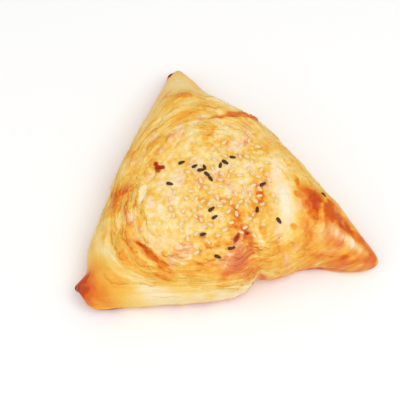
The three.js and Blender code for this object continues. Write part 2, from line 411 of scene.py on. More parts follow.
@dataclass
class PastryForm:
    """The pastry's shape: the same named sizes as its solid, and the finer layers that the solid leaves out.

    A place anywhere on it has a turn, from 0 in the crown's middle to 1 in the base's middle, and a bearing.
    """

    sides: tuple[Side, ...] = (
        Side(LEFT_CORNER, RIGHT_CORNER, bulge=9.5, squareness=0.33, neck=9.2, neck_at=0.766, neck_span=0.146),
        Side(RIGHT_CORNER, BACK_CORNER, bulge=5.5, squareness=0.93, neck=3.8, neck_at=0.817, neck_span=0.114),
        Side(BACK_CORNER, LEFT_CORNER, bulge=3.9, squareness=1.0, neck=2.0, neck_at=0.912, neck_span=0.041),
    )
    pinches: tuple[Pinch, ...] = (
        Pinch(-2.656, 0.034, 2.0), Pinch(-2.565, 0.05, -2.2), Pinch(-2.44, 0.06, 1.8),
        Pinch(-1.0, 0.13, -3.0), Pinch(-0.17, 0.08, 1.2), Pinch(0.42, 0.1, -1.9), Pinch(1.84, 0.03, 2.4),
    )
    crown_height: float = 37.0
    rim_height: float = 8.0
    undercut: float = 9.0
    flat_top_from: float = 0.72
    flat_top_softness: float = 1.6
    full_distance: float = 37.0
    rim_level: float = 0.005
    rim_between: Pair = (15.0, 115.0)
    rim_halvings: int = 36
    rim_steps: int = 1440
    # The turns at which the rim and the base's edge lie
    rim_turn: float = 39 / 45
    base_turn: float = 42 / 45
    swirl: Pair = (2.0, -9.0)
    swirl_reach: float = 47.0
    swirl_margin: float = 0.93
    swirl_share: float = 0.7
    swirl_blend: float = -6
    # The main layers, each a gentle rise outwards and a drop, and their wander: reach, waves round and phase
    layer_pitch: float = 5.4
    layer_step: float = 0.75
    layer_edge: float = 0.8
    layer_waves: tuple[tuple[float, int, float], ...] = ((0.16, 3, 0.6), (0.1, 7, 2.2))
    nominal_radius: float = 62.0
    # Where the layers show: from the middle out, less again at the rim, most at two bearings
    layered_from: Pair = (0.3, 0.6)
    rim_fade: Pair = (0.86, 0.98)
    rim_fading: float = 0.6
    front_left: float = -2.5
    back: float = 1.7
    back_span: float = 0.6
    least_layering: float = 0.35
    # The ears, where the dough was stretched smooth, and the right one's blistered skin
    left_ear_at: float = -2.6
    right_ear_at: float = -0.25
    ear_span: float = 0.5
    ears_from: Pair = (48, 58)
    right_ear_from: Pair = (44, 55)
    ear_calming: float = 0.55
    left_ear_calming: float = 0.4
    # Thin sheets, flakes and bubbles, which the solid leaves out
    fine_layers: int = 3
    fine_step: float = 0.15
    fine_edge: float = 0.72
    fine_streaks: Pair = (14, 7)
    fine_presence: Pair = (0.3, 1.1)
    fine_least: float = 0.15
    fine_drift: tuple[Pattern, ...] = (
        Pattern(PATCHES, (13, 13), (3, 3), 0.3), Pattern(PATCHES, (5.5, 5.5), strength=0.16),
    )
    flake_step: float = 0.1
    flake_least: float = 0.4
    flakes_across: float = 105
    bubble_height: float = 0.55
    bubbles: tuple[Pattern, ...] = (
        Pattern(PORES, (1.5, 1.5), (40, 40), 0.3), Pattern(PORES, (3.1, 3.1), (7, 90), 0.34),
        Pattern(PATCHES, (4.5, 4.5), (9, 9), 0.22),
    )
    # Lumps lie flatter near the rim, and the relief leans out there, as the wall does
    lump_fade: Pair = (0.85, 1)
    lump_fading: float = 0.55
    most_lean: float = 0.85
    lean_power: float = 5
    foot_crinkle: float = 0.35
    crinkle_streaks: Pair = (3, 30)
    seam_depth: float = 0.9
    seam_width: float = 1.4
    seam_bow: float = 3.0
    seam_fade: Pair = (1.0, 0.9)
    # Where the mesh's points crowd: towards the three corners, and towards the rim
    corner_crowding: float = 0.4
    rim_crowding: float = 1.5
    # How much of the drop down the flanks a pattern counts, and which flanks are steep and turned away
    unrolling: float = 0.8
    steep: Pair = (2.0, 3.5)
    steep_probe: float = 0.5
    turned_away: Pair = (-0.1, 0.25)
    folds: tuple[Fold, ...] = (
        Fold((-15, -42.5), (-33, -28), bow=-1.5, width=1.5, depth=1.5, lip=1.0),
        Fold((-1, 29), (22, 31), bow=3.2, width=1.5, depth=1.0, lip=-0.9),
        Fold((18, -17), (12, -32), bow=1.5, width=1.3, depth=0.9, lip=0.4),
        Fold((47, -12), (43, -30), bow=-1.5, width=2.1, depth=1.3, lip=0.6),
        Fold((40.5, -16), (37, -31), bow=-1.5, width=1.8, depth=0.8, lip=0.5),
        Fold((50, -9), (66, -27), bow=1.5, width=1.7, depth=0.9, lip=0.6),
        Fold((-10, 66), (4, 35), bow=-1.5, width=1.7, depth=0.8, lip=0.8),
        Fold((-48, -14), (-20, -47), bow=-5, width=1.6, depth=0.8, lip=0.7),
    )
    # Swellings, and hollows where the amount is negative
    blisters: tuple[Oval, ...] = ovals(
        (43, -5, 8, 5, -0.6, 1.3), (56, -15.5, 9, 4, -0.75, 1.2), (33, -17, 4, 12, 0.1, 1.0),
        (-8, -21, 13, 9, 0.2, 0.9), (-25, -20, 9, 8, 0.5, 0.8), (3, 12, 16, 9, 0.0, 0.7),
        (15, -40, 6, 4, 0.2, -1.1), (26, -6, 4, 9, -0.2, -0.8), (-37, -42, 9, 6, -0.5, 0.8),
        (-14, 40, 7, 6, 0.9, 0.8), (-33, 2, 5, 13, 0.2, 0.7), (-56.5, -41, 3, 2.2, 0.4, 2.4),
    )
    swells: tuple[Swell, ...] = (
        Swell(31, 0.4, 0.7, 0.45), Swell(23, 1.9, 2.1, 0.35), Swell(15, 2.8, 4.0, 0.22),
    )

    def __post_init__(self) -> None:
        """Work out the rim once for all directions."""
        self.bearings = np.linspace(-np.pi, np.pi, self.rim_steps, endpoint=False)
        self.rims = {necked: self.find_rim(self.bearings, necked) for necked in (True, False)}

    def plan(self, radius: Array, bearing: Array) -> tuple[Array, Array]:
        """Places in the plan, from their radius and bearing about the swirl's middle."""
        return self.swirl[0] + radius * np.cos(bearing), self.swirl[1] + radius * np.sin(bearing)

    def fullness(self, x: Array, y: Array, necked: bool = True) -> Array:
        """How full of filling the pastry is.

        Args:
            x: Places across the plan.
            y: Places along the plan.
            necked: Whether the pinched waists count.

        Returns:
            0 outside, about 1 and more in the middle.
        """
        product = np.ones_like(x)
        for side in self.sides:
            product = product * np.maximum(side.distance(x, y, necked), 0)
        return product / self.full_distance ** 3

    def find_rim(self, bearing: Array, necked: bool) -> Array:
        """Find the widest line in each direction, by halving.

        Args:
            bearing: Directions from the swirl's middle.
            necked: Whether the pinched waists count.

        Returns:
            Its radius in each direction.
        """
        inside, outside = (np.full(bearing.shape, radius) for radius in self.rim_between)
        for _ in range(self.rim_halvings):
            middle = (inside + outside) / 2
            full = self.fullness(*self.plan(middle, bearing), necked) > self.rim_level
            inside, outside = np.where(full, middle, inside), np.where(full, outside, middle)
        radius = (inside + outside) / 2
        for pinch in self.pinches:
            radius = radius + pinch.reach * hump(wrapped(bearing - pinch.bearing), pinch.span)
        return radius

    def rim(self, bearing: Array, necked: bool = True) -> Array:
        """Radius of the widest line at any bearing, read from the finished table."""
        return np.interp(bearing, self.bearings, self.rims[necked], period=WHOLE_TURN)

    def swirl_radius(self, rim: Array) -> Array:
        """Radius where the round rings end and the rings start to follow the outline."""
        inner = (self.swirl_margin * rim) ** self.swirl_blend + self.swirl_reach ** self.swirl_blend
        return inner ** (1 / self.swirl_blend)

    def spots(self, share: Array, bearing: Array) -> Spots:
        """Find places on the crown.

        Args:
            share: 0 in the swirl's middle and 1 at the rim.
            bearing: Directions from the swirl's middle.

        Returns:
            The places, with all that their relief and their colour need.
        """
        rim, free_rim = self.rim(bearing), self.rim(bearing, necked=False)
        inner, free_inner = self.swirl_radius(rim), self.swirl_radius(free_rim)
        rest = 1 - self.swirl_share
        outer = inner + (share - self.swirl_share) / rest * (rim - inner)
        radius = np.where(share < self.swirl_share, share / self.swirl_share * inner, outer)
        outer_layer = self.swirl_share + (radius - free_inner) / (free_rim - free_inner) * rest
        layer = np.where(radius < free_inner, radius / free_inner * self.swirl_share, outer_layer)
        return Spots(share, bearing, radius, *self.plan(radius, bearing), layer)

    def smooth_height(self, x: Array, y: Array) -> Array:
        """Height of the smooth crown.

        Args:
            x: Places across the plan.
            y: Places along the plan.

        Returns:
            Heights in millimetres.
        """
        pressure = np.maximum((self.fullness(x, y) - self.rim_level) / (1 - self.rim_level), 0)
        height = self.rim_height + (self.crown_height - self.rim_height) * np.sqrt(pressure)
        knee = self.crown_height * self.flat_top_from
        room = self.crown_height - knee
        flatter = knee + room * np.tanh((height - knee) / (room * self.flat_top_softness))
        return np.where(height > knee, flatter, height)

    def layer_number(self, spots: Spots) -> Array:
        """Count of spiral layers from the middle out, with the dough's slight wander."""
        waves = sum(reach * np.sin(waves * spots.bearing + phase) for reach, waves, phase in self.layer_waves)
        return spots.layer * self.nominal_radius / self.layer_pitch - spots.bearing / WHOLE_TURN + waves

    def wandering_number(self, spots: Spots) -> Array:
        """Layer count for what is thin: sheets and their browning wander more than the main layers do."""
        return self.layer_number(spots) + blend(self.fine_drift, spots.x, spots.y)

    def step_profile(self, number: Array, edge: float) -> Array:
        """Saw-tooth of overlapping layers: a gentle rise outwards, then a drop at the layer's outer edge."""
        part = number - np.floor(number)
        return np.where(part < edge, part / edge, (1 - part) / (1 - edge))

    def layer_strength(self, spots: Spots) -> Array:
        """How plainly the layers show: most on the left, the front and the back, least in the middle.

        Args:
            spots: Places on the crown.

        Returns:
            Strengths from 0 to 1.
        """
        left_and_front = 0.5 + 0.5 * np.cos(spots.bearing - self.front_left)
        back = hump(spots.bearing - self.back, self.back_span)
        rim_fade = 1 - self.rim_fading * smoothstep(*self.rim_fade, spots.layer)
        fade = smoothstep(*self.layered_from, spots.layer) * rim_fade
        more = (1 - self.least_layering) * np.minimum(left_and_front + back, 1)
        return fade * (self.least_layering + more)

    def ear_calm(self, spots: Spots) -> Array:
        """Where the dough was stretched smooth.

        Args:
            spots: Places on the crown.

        Returns:
            1 on the crown, least on the left ear.
        """
        left = hump(wrapped(spots.bearing - self.left_ear_at), self.ear_span)
        calming = self.ear_calming + self.left_ear_calming * left
        return 1 - calming * smoothstep(*self.ears_from, spots.radius)

    def right_ear(self, spots: Spots) -> Array:
        """1 on the right ear, where the crust blistered in small pale and pink spots, and 0 elsewhere."""
        across = hump(wrapped(spots.bearing - self.right_ear_at), self.ear_span)
        return across * smoothstep(*self.right_ear_from, spots.radius)

    def coarse_relief(self, spots: Spots) -> Array:
        """Layer steps, folds, blisters and swells, as the solid has them.

        Args:
            spots: Places on the crown.

        Returns:
            Heights in millimetres.
        """
        x, y = spots.x, spots.y
        strength = self.layer_strength(spots) * self.ear_calm(spots)
        profile = self.step_profile(self.layer_number(spots), self.layer_edge) - 0.5
        lumps = sum(fold.relief(x, y) for fold in self.folds)
        lumps = lumps + sum(blister.amount * blister.weight(x, y) for blister in self.blisters)
        lumps = lumps + sum(swell.relief(x, y) for swell in self.swells)
        lumps = lumps * (1 - self.lump_fading * smoothstep(*self.lump_fade, spots.share))
        return self.layer_step * profile * strength + lumps

    def fine_relief(self, spots: Spots) -> Array:
        """Thin sheets between the main layers, broken flakes and small bubbles.

        Args:
            spots: Places on the crown.

        Returns:
            Heights in millimetres.
        """
        level, swing = self.fine_presence
        presence = np.clip(level + swing * spots.streaks(*self.fine_streaks), 0, 1)
        number = self.fine_layers * self.wandering_number(spots)
        sheets = self.fine_step * (self.step_profile(number, self.fine_edge) - 0.5) * presence
        broken = FLAKES.at(spots.layer * self.flakes_across, spots.bearing / WHOLE_TURN * FLAKES.columns)
        flake = self.flake_step * broken * (self.flake_least + (1 - self.flake_least) * presence)
        strength = np.clip(self.layer_strength(spots) + self.fine_least, 0, 1)
        bubbles = self.bubble_height * blend(self.bubbles, spots.x, spots.y)
        return self.ear_calm(spots) * (strength * (sheets + flake) + bubbles)

    def unrolled(self, spots: Spots) -> tuple[Array, Array]:
        """Places for patterns: the plan, with the drop down the steep flanks laid out flat round it.

        Args:
            spots: Places on the crown.

        Returns:
            Their x and y in millimetres.
        """
        knee = self.crown_height * self.flat_top_from
        drop = self.unrolling * np.maximum(knee - self.smooth_height(spots.x, spots.y), 0)
        return spots.x + drop * np.cos(spots.bearing), spots.y + drop * np.sin(spots.bearing)

    def steep_back(self, spots: Spots) -> Array:
        """Find the steep flanks that face away from the photograph's camera.

        Args:
            spots: Places on the crown.

        Returns:
            1 on those flanks and 0 on the rest.
        """
        outer = self.plan(spots.radius + self.steep_probe, spots.bearing)
        fall = (self.smooth_height(spots.x, spots.y) - self.smooth_height(*outer)) / self.steep_probe
        return smoothstep(*self.steep, fall) * smoothstep(*self.turned_away, np.sin(spots.bearing))

    def crown_points(self, spots: Spots, lift: float | Array = 0.0) -> Array:
        """Places on the crown with all its relief.

        Args:
            spots: Places on the crown.
            lift: Extra height along the relief's direction, in millimetres.

        Returns:
            An array of x, y, z in millimetres.
        """
        out = self.coarse_relief(spots) + self.fine_relief(spots) + lift
        lean = (np.pi / 2) * self.most_lean * spots.share ** self.lean_power
        level = out * np.sin(lean)
        return np.stack([
            spots.x + level * np.cos(spots.bearing),
            spots.y + level * np.sin(spots.bearing),
            self.smooth_height(spots.x, spots.y) + out * np.cos(lean),
        ], axis=-1)

    def foot_points(self, wall: Array, bearing: Array) -> Array:
        """Places on the rounded wall below the rim.

        Args:
            wall: 0 at the rim and 1 at the base's edge.
            bearing: Directions from the swirl's middle.

        Returns:
            An array of x, y, z in millimetres.
        """
        rim = self.crown_points(self.spots(np.ones_like(bearing), bearing))
        inset = self.undercut * (1 - np.cos(wall * np.pi / 2))
        across, shift = self.crinkle_streaks
        streaks = STREAKS.at(wall * across + shift, bearing / WHOLE_TURN * STREAKS.columns)
        inset = inset - self.foot_crinkle * streaks * np.sin(np.pi * wall)
        return np.stack([
            rim[..., 0] - inset * np.cos(bearing),
            rim[..., 1] - inset * np.sin(bearing),
            rim[..., 2] * (1 - np.sin(wall * np.pi / 2)),
        ], axis=-1)

    def base_points(self, part: Array, bearing: Array) -> Array:
        """Places on the flat underside, with the folded dough's three seams.

        Args:
            part: 1 at the base's edge and 0 in its middle.
            bearing: Directions from the swirl's middle.

        Returns:
            An array of x, y, z in millimetres.
        """
        edge = self.foot_points(np.ones_like(bearing), bearing)
        x = self.swirl[0] + (edge[..., 0] - self.swirl[0]) * part
        y = self.swirl[1] + (edge[..., 1] - self.swirl[1]) * part
        depth = self.seam_depth * smoothstep(*self.seam_fade, part)
        return np.stack([x, y, depth * self.seam(x, y)], axis=-1)

    def seam(self, x: Array, y: Array) -> Array:
        """Find the underside's three seams, from the middle of the base to the middle of each side.

        Args:
            x: Places across the plan.
            y: Places along the plan.

        Returns:
            Weights from 1 on a seam to 0 away from them.
        """
        total = np.zeros_like(x)
        for side in self.sides:
            middle = ((side.start[0] + side.end[0]) / 2, (side.start[1] + side.end[1]) / 2)
            offset, ends = Fold(self.swirl, middle, bow=self.seam_bow, width=self.seam_width).line(x, y)
            total = np.maximum(total, ends * hump(offset, self.seam_width))
        return total

    def wall(self, turn: Array) -> Array:
        """How far down the wall places are: 0 on the crown, 1 under the base."""
        return np.clip((turn - self.rim_turn) / (self.base_turn - self.rim_turn), 0, 1)

    def surface(self, turn: Array, bearing: Array) -> Array:
        """Any place on the pastry, from the crown's middle round the rim to the base's middle.

        Args:
            turn: 0 in the crown's middle and 1 in the base's middle.
            bearing: Directions from the swirl's middle.

        Returns:
            An array of x, y, z in millimetres.
        """
        below, under = turn > self.rim_turn, turn > self.base_turn
        places = self.crown_points(self.spots(self.crowd_share(turn), bearing))
        places[below] = self.foot_points(self.wall(turn[below]), bearing[below])
        part = 1 - (turn[under] - self.base_turn) / (1 - self.base_turn)
        places[under] = self.base_points(part, bearing[under])
        return places

    def crowd_share(self, turn: Array) -> Array:
        """Shares of the crown's radius for even turns, crowded towards the rim, where the wall turns steep.

        Args:
            turn: Turns, past the rim's too.

        Returns:
            Shares from 0 in the swirl's middle to 1 at the rim and past it.
        """
        even = np.clip(turn / self.rim_turn, 0, 1)
        rest = np.clip((even - self.swirl_share) / (1 - self.swirl_share), 0, 1)
        crowded = self.swirl_share + (1 - self.swirl_share) * (1 - (1 - rest) ** self.rim_crowding)
        return np.where(even <= self.swirl_share, even, crowded)

    def crowd_bearings(self, fraction: Array) -> Array:
        """Bearings for even fractions of a turn, crowded towards the three corners.

        Args:
            fraction: Fractions of a whole turn, from 0 at the left corner.

        Returns:
            Bearings from the swirl's middle.
        """
        tips = (BEAK_TIP, RIGHT_CORNER, BACK_CORNER)
        starts = np.array([math.atan2(y - self.swirl[1], x - self.swirl[0]) for x, y in tips])
        spans = (np.roll(starts, -1) - starts) % WHOLE_TURN
        place = (fraction % 1) * len(tips)
        index = np.minimum(place.astype(int), len(tips) - 1)
        even = place - index
        eased = even - self.corner_crowding * np.sin(WHOLE_TURN * even) / WHOLE_TURN
        return wrapped(starts[index] + spans[index] * eased)


@dataclass
class Looks:
    """What the baked dough's finish reads at each point of a piece.

    How far the oven browned it, how far it runs to pink, how far red juice stained it, how plainly its thin
    sheets and its bubbles show, and its place along and across the sheets.
    """

    browning: Array
    redness: Array
    juice: Array
    layering: Array
    pebbling: Array
    sheet: Array

    def paint(self, mesh: bpy.types.Mesh) -> None:
        """Store the values on the mesh's points, under their own names.

        Args:
            mesh: Mesh that gets them, with as many points as there are values.
        """
        for name, values in vars(self).items():
            kind, key = ("FLOAT_VECTOR", "vector") if name == "sheet" else ("FLOAT", "value")
            mesh.attributes.new(name, kind, "POINT").data.foreach_set(key, values.ravel())


@dataclass
class OvenColour:
    """How the oven coloured the crust: 0 pale dough, 0.4 golden, 0.7 orange brown, 1 dark.

    A patch adds its amount; a scorch has a crisp edge and browns up to its amount; a burst lets out juice.
    """

    form: PastryForm
    seeds: list[tuple[float, float, float]]
    # The plain tone of each part
    crown: float = 0.225
    shoulder: float = 0.12
    shoulder_at: float = 0.66
    shoulder_span: float = 0.16
    flank: float = -0.08
    flank_from: Pair = (0.84, 0.97)
    ears: float = 0.1
    ears_from: Pair = (50, 62)
    # Layer edges caught more heat, and the thin sheets between them brown in streaks
    edge: float = 0.085
    edge_from: Pair = (0.45, 0.8)
    streak: float = 0.07
    streak_from: Pair = (0.5, 0.9)
    streak_mean: float = 0.4
    toasted_level: float = 0.5
    # Blotches everywhere, and small brown and pink spots on the right ear and faintly on the crown
    blotches: Pattern = Pattern(PATCHES, (6.5, 6.5), strength=0.09)
    ear_mottle: Pattern = Pattern(PATCHES, (3.4, 2.6), (31, 17), 0.13)
    ear_spots: Pattern = Pattern(PATCHES, (3.4, 2.6), (7, 27))
    ear_spots_from: Pair = (0.1, 0.6)
    ear_pink: float = 0.5
    faint_spots: Pattern = Pattern(PATCHES, (4.2, 4.2), (21, 11))
    faint_spots_from: Pair = (0.25, 0.7)
    faint_until: Pair = (0.6, 0.8)
    faint_pink: float = 0.8
    # A browner ring round each white seed: painted contact shadow, and egg wash that pooled round the seed
    # and browned
    seed_shadow_and_browning: float = 0.08
    seed_shadow_radius: float = 1.5
    seed_shadow_width: float = 0.6
    # How the edges of patches and scorches fray
    raggedness: Pattern = Pattern(PATCHES, (3.1, 3.1), (5, 5), 0.5)
    ragged_least: float = 0.4
    ragged_streaks: Pair = (34, 0.3)
    tatters: tuple[Pattern, ...] = (
        Pattern(PATCHES, (1.9, 1.9), (0, 14), 0.5), Pattern(PORES, (1.1, 1.1), strength=0.3),
    )
    scorch_edge: Pair = (0.15, 0.62)
    scorch_hides: float = 0.85
    burst_edge: Pair = (0.25, 0.6)
    softening_from: float = 0.6
    softening_room: float = 0.13
    # The wall, the burnt edge where it met the tray, darkened further as painted shade under the rim, and the
    # underside
    wall_tone: float = 0.2
    wall_mottling: float = 0.6
    wall_from: Pair = (0.0, 0.3)
    underside: float = 0.4
    underside_from: Pair = (0.4, 1.0)
    mottle: tuple[Pattern, ...] = (
        Pattern(PATCHES, (8, 8), strength=0.13), Pattern(PATCHES, (3, 3), (9, 0), 0.1),
        Pattern(PORES, (1.3, 1.3), strength=0.06),
    )
    tray_marks: float = 0.22
    tray_marked: Pattern = Pattern(PATCHES, (15, 15), (5, 3))
    tray_marks_from: Pair = (0.1, 0.7)
    seam_paleness: float = 0.2
    shade_and_tray_edge: float = 0.6
    shade_and_tray_edge_level: float = 0.7
    shade_and_tray_edge_mottle: tuple[Pattern, ...] = (
        Pattern(PATCHES, (7, 7), (3, 0), 0.5), Pattern(PATCHES, (2.6, 2.6), (0, 7), 0.35),
    )
    shade_and_tray_edge_from: Pair = (0.06, 0.2)
    shade_and_tray_edge_until: Pair = (0.4, 0.95)
    shade_and_tray_burn: float = 0.4
    shade_and_tray_burns: tuple[Pair, ...] = ((-2.5, 0.12), (-0.7, 0.2))
    # The thin sheets: the length and width of their streaks, their wander, and how plainly they show
    streak_length: float = 13.0
    streak_width: float = 2.0
    sheet_drift: tuple[Pattern, ...] = (
        Pattern(PATCHES, (13, 13), (3, 3), 1.6), Pattern(PATCHES, (5.5, 5.5), strength=0.8),
    )
    sheet_wave: tuple[float, int, float] = (1.2, 2, 0.6)
    sheet_contrast: float = 1.25
    sheet_clouds: Pattern = Pattern(PATCHES, (9, 9), (17, 2), 0.55)
    sheet_cloud_level: float = 0.75
    ear_sheets: float = 0.3
    wall_sheets: float = 0.5
    least_pebbling: float = 0.45
    pebbled_from: Pair = (0.75, 0.45)
    under_lump: float = 3.0
    base_edge_fade: Pair = (0.006, 0.03)
    patches: tuple[Oval, ...] = ovals(
        # Left shoulder
        (-41.5, -7, 2.4, 7, 0.2, 0.32), (-36, -4.5, 3.2, 3, 0.3, 0.26), (-27, -4, 5, 9, 0.1, 0.14),
        (-38, 16, 2.4, 9, -0.35, 0.26), (-31, -24, 4, 9, 0.3, 0.12), (-50, -29, 2.4, 9, 0.2, 0.1),
        # Back
        (-14, 44, 6, 3, 0.2, 0.1), (-9, 32.5, 8, 1.8, 0.35, 0.24), (-20, 30, 7, 5, 0.5, -0.1),
        (0, 30, 26, 12, 0, -0.08), (-14, 55, 7, 9, 0, -0.2), (10, 32, 12, 2, 0.25, 0.12, 0.1),
        (7, 25.5, 3.4, 1.6, 0.1, 0.2), (26, 14, 8, 4, 0.4, 0.09),
        # Right half of the crown, down to the pink place at the front
        (22.3, -6, 3.4, 6.5, 0.1, 0.34), (20, -16, 4, 3.5, 0, 0.1), (11.2, -21, 3.4, 6.5, 0.15, 0.4),
        (21.4, -24.8, 3.5, 3, 0, 0.2), (3.5, -25.5, 6, 3.5, 0, 0.08), (11, -10.8, 7, 4, 0, -0.07),
        (28.4, -17.1, 3.4, 3.6, 0, 0.12, 0.25), (16.2, -25.5, 2.2, 3.5, 0.1, 0.3, 0.4),
        (16.5, -31, 2.2, 4, 0.2, 0.38, 0.2), (12.5, -38, 6.5, 5.5, 0.2, 0.24, 0.8),
        # Left of the front
        (-24, -37, 7.5, 1.8, -0.7, 0.16, 0.1), (-22, -10, 12, 14, 0, -0.07),
        (-19, -32, 8, 4, -0.5, -0.1, 0.3), (-27, -28, 3.5, 6, 0.2, -0.1),
        (-5.7, -32.2, 5, 3, 0, 0.1), (-22, -44, 7, 2.2, -0.2, 0.14),
        # Front edge
        (2, -42, 16, 3, 0.05, 0.12), (21, -43, 7, 3, 0.3, -0.24), (-16, -49, 14, 4, 0, -0.05),
        (13, -46, 9, 3, 0.15, -0.08), (30, -33, 8, 6, 0.2, 0.1),
        # Left ear
        (-48, -46, 8, 6, 0.2, 0.16, 0.05), (-44, -49, 12, 2.6, 0, 0.12), (-36, -43, 6, 6, 0, 0.12),
        (-54, -44.5, 5, 6, 0, 0.32, 0.2), (-50, -38, 4, 5, 0.5, 0.14),
        # Right ear
        (42, -5, 6, 3.6, -0.7, 0.24), (37.5, -8, 2.2, 4, 0, 0.08), (47, -18.4, 5, 2.8, 0, 0.14),
        (37, -14.5, 4, 4, 0, -0.04), (46, -9, 4, 3, 0, 0.1), (55, -15, 13, 6, -0.6, 0.3),
        # Painted highlight: the pale pink streak at 54.5, -21.3 and the pale one at 63, -26 stand for light
        # along the ear's ridge
        (65, -23, 6, 3.5, -0.8, 0.2), (54.5, -21.3, 5, 2.6, -0.3, -0.14, 0.8),
        (63, -26, 5.6, 2.6, -0.45, -0.5, 0.6), (50, -27, 10, 6, 0, 0.26),
        (51, -24.5, 8, 3.4, -0.15, -0.06, 0.5), (58, -32.4, 12, 2.6, 0.05, 0.14, 0.1),
        (62, -29, 6, 2.6, -0.3, 0.1), (70, -31, 6, 6, 0, 0.3, 0.2), (42, -24, 2.6, 6, 0, 0.08, 0.2),
        # Pale places; the first, at 32.8, -13.5, is a painted highlight on the raised band right of the crown
        (32.8, -13.5, 4.2, 12, 0.12, -0.26), (32, 3, 6, 12, 0.5, -0.18), (14, 23, 8, 4, 0.1, -0.12),
        (3, 46, 12, 4, -0.65, -0.26), (-4, -6, 12, 12, 0, 0.03), (-12, -17, 11, 8, 0.2, -0.08),
        (-15, -3, 5, 4, 0, -0.04), (5.5, 3, 6, 4, 0, -0.05),
    )
    scorches: tuple[Oval, ...] = ovals(
        # Left tip
        (-53.5, -45, 5.6, 3.8, 0.2, 0.6, 0.25), (-54.4, -44.6, 2.8, 3.4, 0, 0.84),
        (-57.6, -42.4, 2.8, 2.8, 0, 0.92), (-54, -40.6, 3.4, 1.8, 0.6, 0.84),
        (-48, -48.6, 7, 1.4, -0.1, 0.58),
        # Back tip and the back fold
        (-18.6, 69.8, 2.6, 3.4, 0, 0.95), (-12, 72, 2.8, 2.4, 0, 0.88), (-11.7, 44.1, 3.8, 2.6, 0.1, 0.58),
        (-17, 44.9, 4.5, 0.8, -0.15, 0.46), (6.4, 31.6, 5.8, 2, 0.36, 0.6, 0.15),
        (13.5, 34.2, 6, 2.2, 0.12, 0.64, 0.25), (19.5, 34.4, 4.4, 2.4, 0, 0.66, 0.25),
        # Right ear
        (38.5, -1.5, 1.5, 4.2, 0.2, 0.6), (38.8, -8, 2.8, 1.4, -0.4, 0.6, 0.3),
        (41.6, -11.6, 1.5, 3, 0.3, 0.6), (45.6, -10.8, 3.4, 3.2, 0.2, 0.8), (44.4, -15.2, 2, 2.6, 0, 0.64),
        (51.4, -12.6, 2.6, 4, -0.2, 0.72),
        (55, -15.2, 4.6, 2.6, -0.5, 0.76), (58.8, -18.4, 4.2, 2.4, -0.55, 0.78),
        (52.8, -17.4, 3.4, 1, -0.4, 0.68), (63, -21.2, 5.2, 2.1, -0.6, 0.66),
        (71.5, -29, 1.8, 3.6, 0, 0.7, 0.3), (58.2, -31, 2.2, 1.1, 0.1, 0.7), (43, -25.5, 1.4, 3, -0.2, 0.58),
        # Front and the front left fold
        (36.8, -21.9, 1.9, 1.3, 0.2, 0.5), (15.8, -27.2, 0.9, 0.8, 0, 0.95),
        (-29.3, -31.3, 3.2, 0.8, -0.75, 0.6),
        (-23.8, -36.4, 5, 1.4, -0.72, 0.7), (-20.4, -39.6, 2.6, 1.7, -0.4, 0.62),
    )
    bursts: tuple[Oval, ...] = ovals(
        (-23.4, 5.7, 1.3, 1.3, 0, 1), (-20.6, 3.8, 1.6, 1.1, 0.3, 1), (-22.2, 2, 1.2, 1.3, 0, 0.9),
        (-22.3, 3.8, 1.5, 1.7, 0.6, 1), (11.6, -29.4, 3, 1.2, 1.08, 1), (16, -24.8, 0.8, 2.2, -0.35, 0.6),
        (-3, -28.6, 2, 1.7, 0.2, 0.6),
    )
    # Places where the patterns stayed calm, and the pale ribbon of dough across the front left
    calm_places: tuple[Oval, ...] = ovals(
        (34, -14, 8, 15, 0.1, 0.85), (-44, -43, 14, 9, 0, 0.4), (-22, -49, 26, 5, 0, 0.7),
        (2, 48, 14, 5, -0.65, 0.6), (-14, 56, 10, 12, 0, 0.8), (-22, 28, 14, 15, 0, 0.5),
    )
    ribbon: Fold = Fold((-49, -20), (-18, -48), bow=-7.6, width=2.6)
    ribbon_paleness: float = 0.17

    def plain_tone(self, spots: Spots) -> Array:
        """Browning of the crown, its shoulder, flanks and ears before any pattern.

        Args:
            spots: Places on the crown.

        Returns:
            Browning.
        """
        on_ears = smoothstep(*self.ears_from, spots.radius)
        brown = self.crown + self.shoulder * hump(spots.layer - self.shoulder_at, self.shoulder_span)
        brown = brown + self.flank * smoothstep(*self.flank_from, spots.layer) * (1 - on_ears)
        return brown + self.ears * on_ears

    def sheet_tone(self, spots: Spots) -> Array:
        """Browning of the layers' edges and of the thin sheets, where they show.

        Args:
            spots: Places on the crown.

        Returns:
            Browning to add.
        """
        form = self.form
        number = form.wandering_number(spots)
        presence = np.clip(self.toasted_level + spots.streaks(*form.fine_streaks), 0, 1)
        crest = smoothstep(*self.edge_from, form.step_profile(number, form.layer_edge))
        thin = smoothstep(*self.streak_from, form.step_profile(form.fine_layers * number, form.fine_edge))
        return presence * (self.edge * crest + self.streak * (thin - self.streak_mean))

    def crown_browning(self, spots: Spots) -> tuple[Array, Array, Array]:
        """Colour values of places on the crown.

        Args:
            spots: Places on the crown.

        Returns:
            Browning, redness and the filling's red juice, each from 0 to 1.
        """
        form, x, y = self.form, spots.x, spots.y
        u, v = form.unrolled(spots)
        calm, ear = form.ear_calm(spots), form.right_ear(spots)
        strength = form.layer_strength(spots) * calm
        brown = self.plain_tone(spots) + strength * self.sheet_tone(spots)
        brown = brown + self.liveliness(x, y) * self.blotches.at(u, v) + ear * self.ear_mottle.at(u, v)
        # Painted contact shadow round each white seed, with the browning of the egg wash that pooled there
        for seed_x, seed_y, _ in self.seeds:
            distance = np.hypot(x - seed_x, y - seed_y)
            brown = brown + self.seed_shadow_and_browning * hump(distance - self.seed_shadow_radius, self.seed_shadow_width)
        faint = self.faint_spots.at(x, y) * (1 - smoothstep(*self.faint_until, spots.layer))
        red = self.faint_pink * smoothstep(*self.faint_spots_from, faint)
        red = red + self.ear_pink * ear * smoothstep(*self.ear_spots_from, self.ear_spots.at(u, v))
        layers, reach = self.ragged_streaks
        ragged = 1 + (self.ragged_least + (1 - self.ragged_least) * calm) * self.raggedness.at(u, v)
        ragged = ragged + reach * strength * spots.streaks(layers)
        return self.marked(spots, brown, red, ragged)

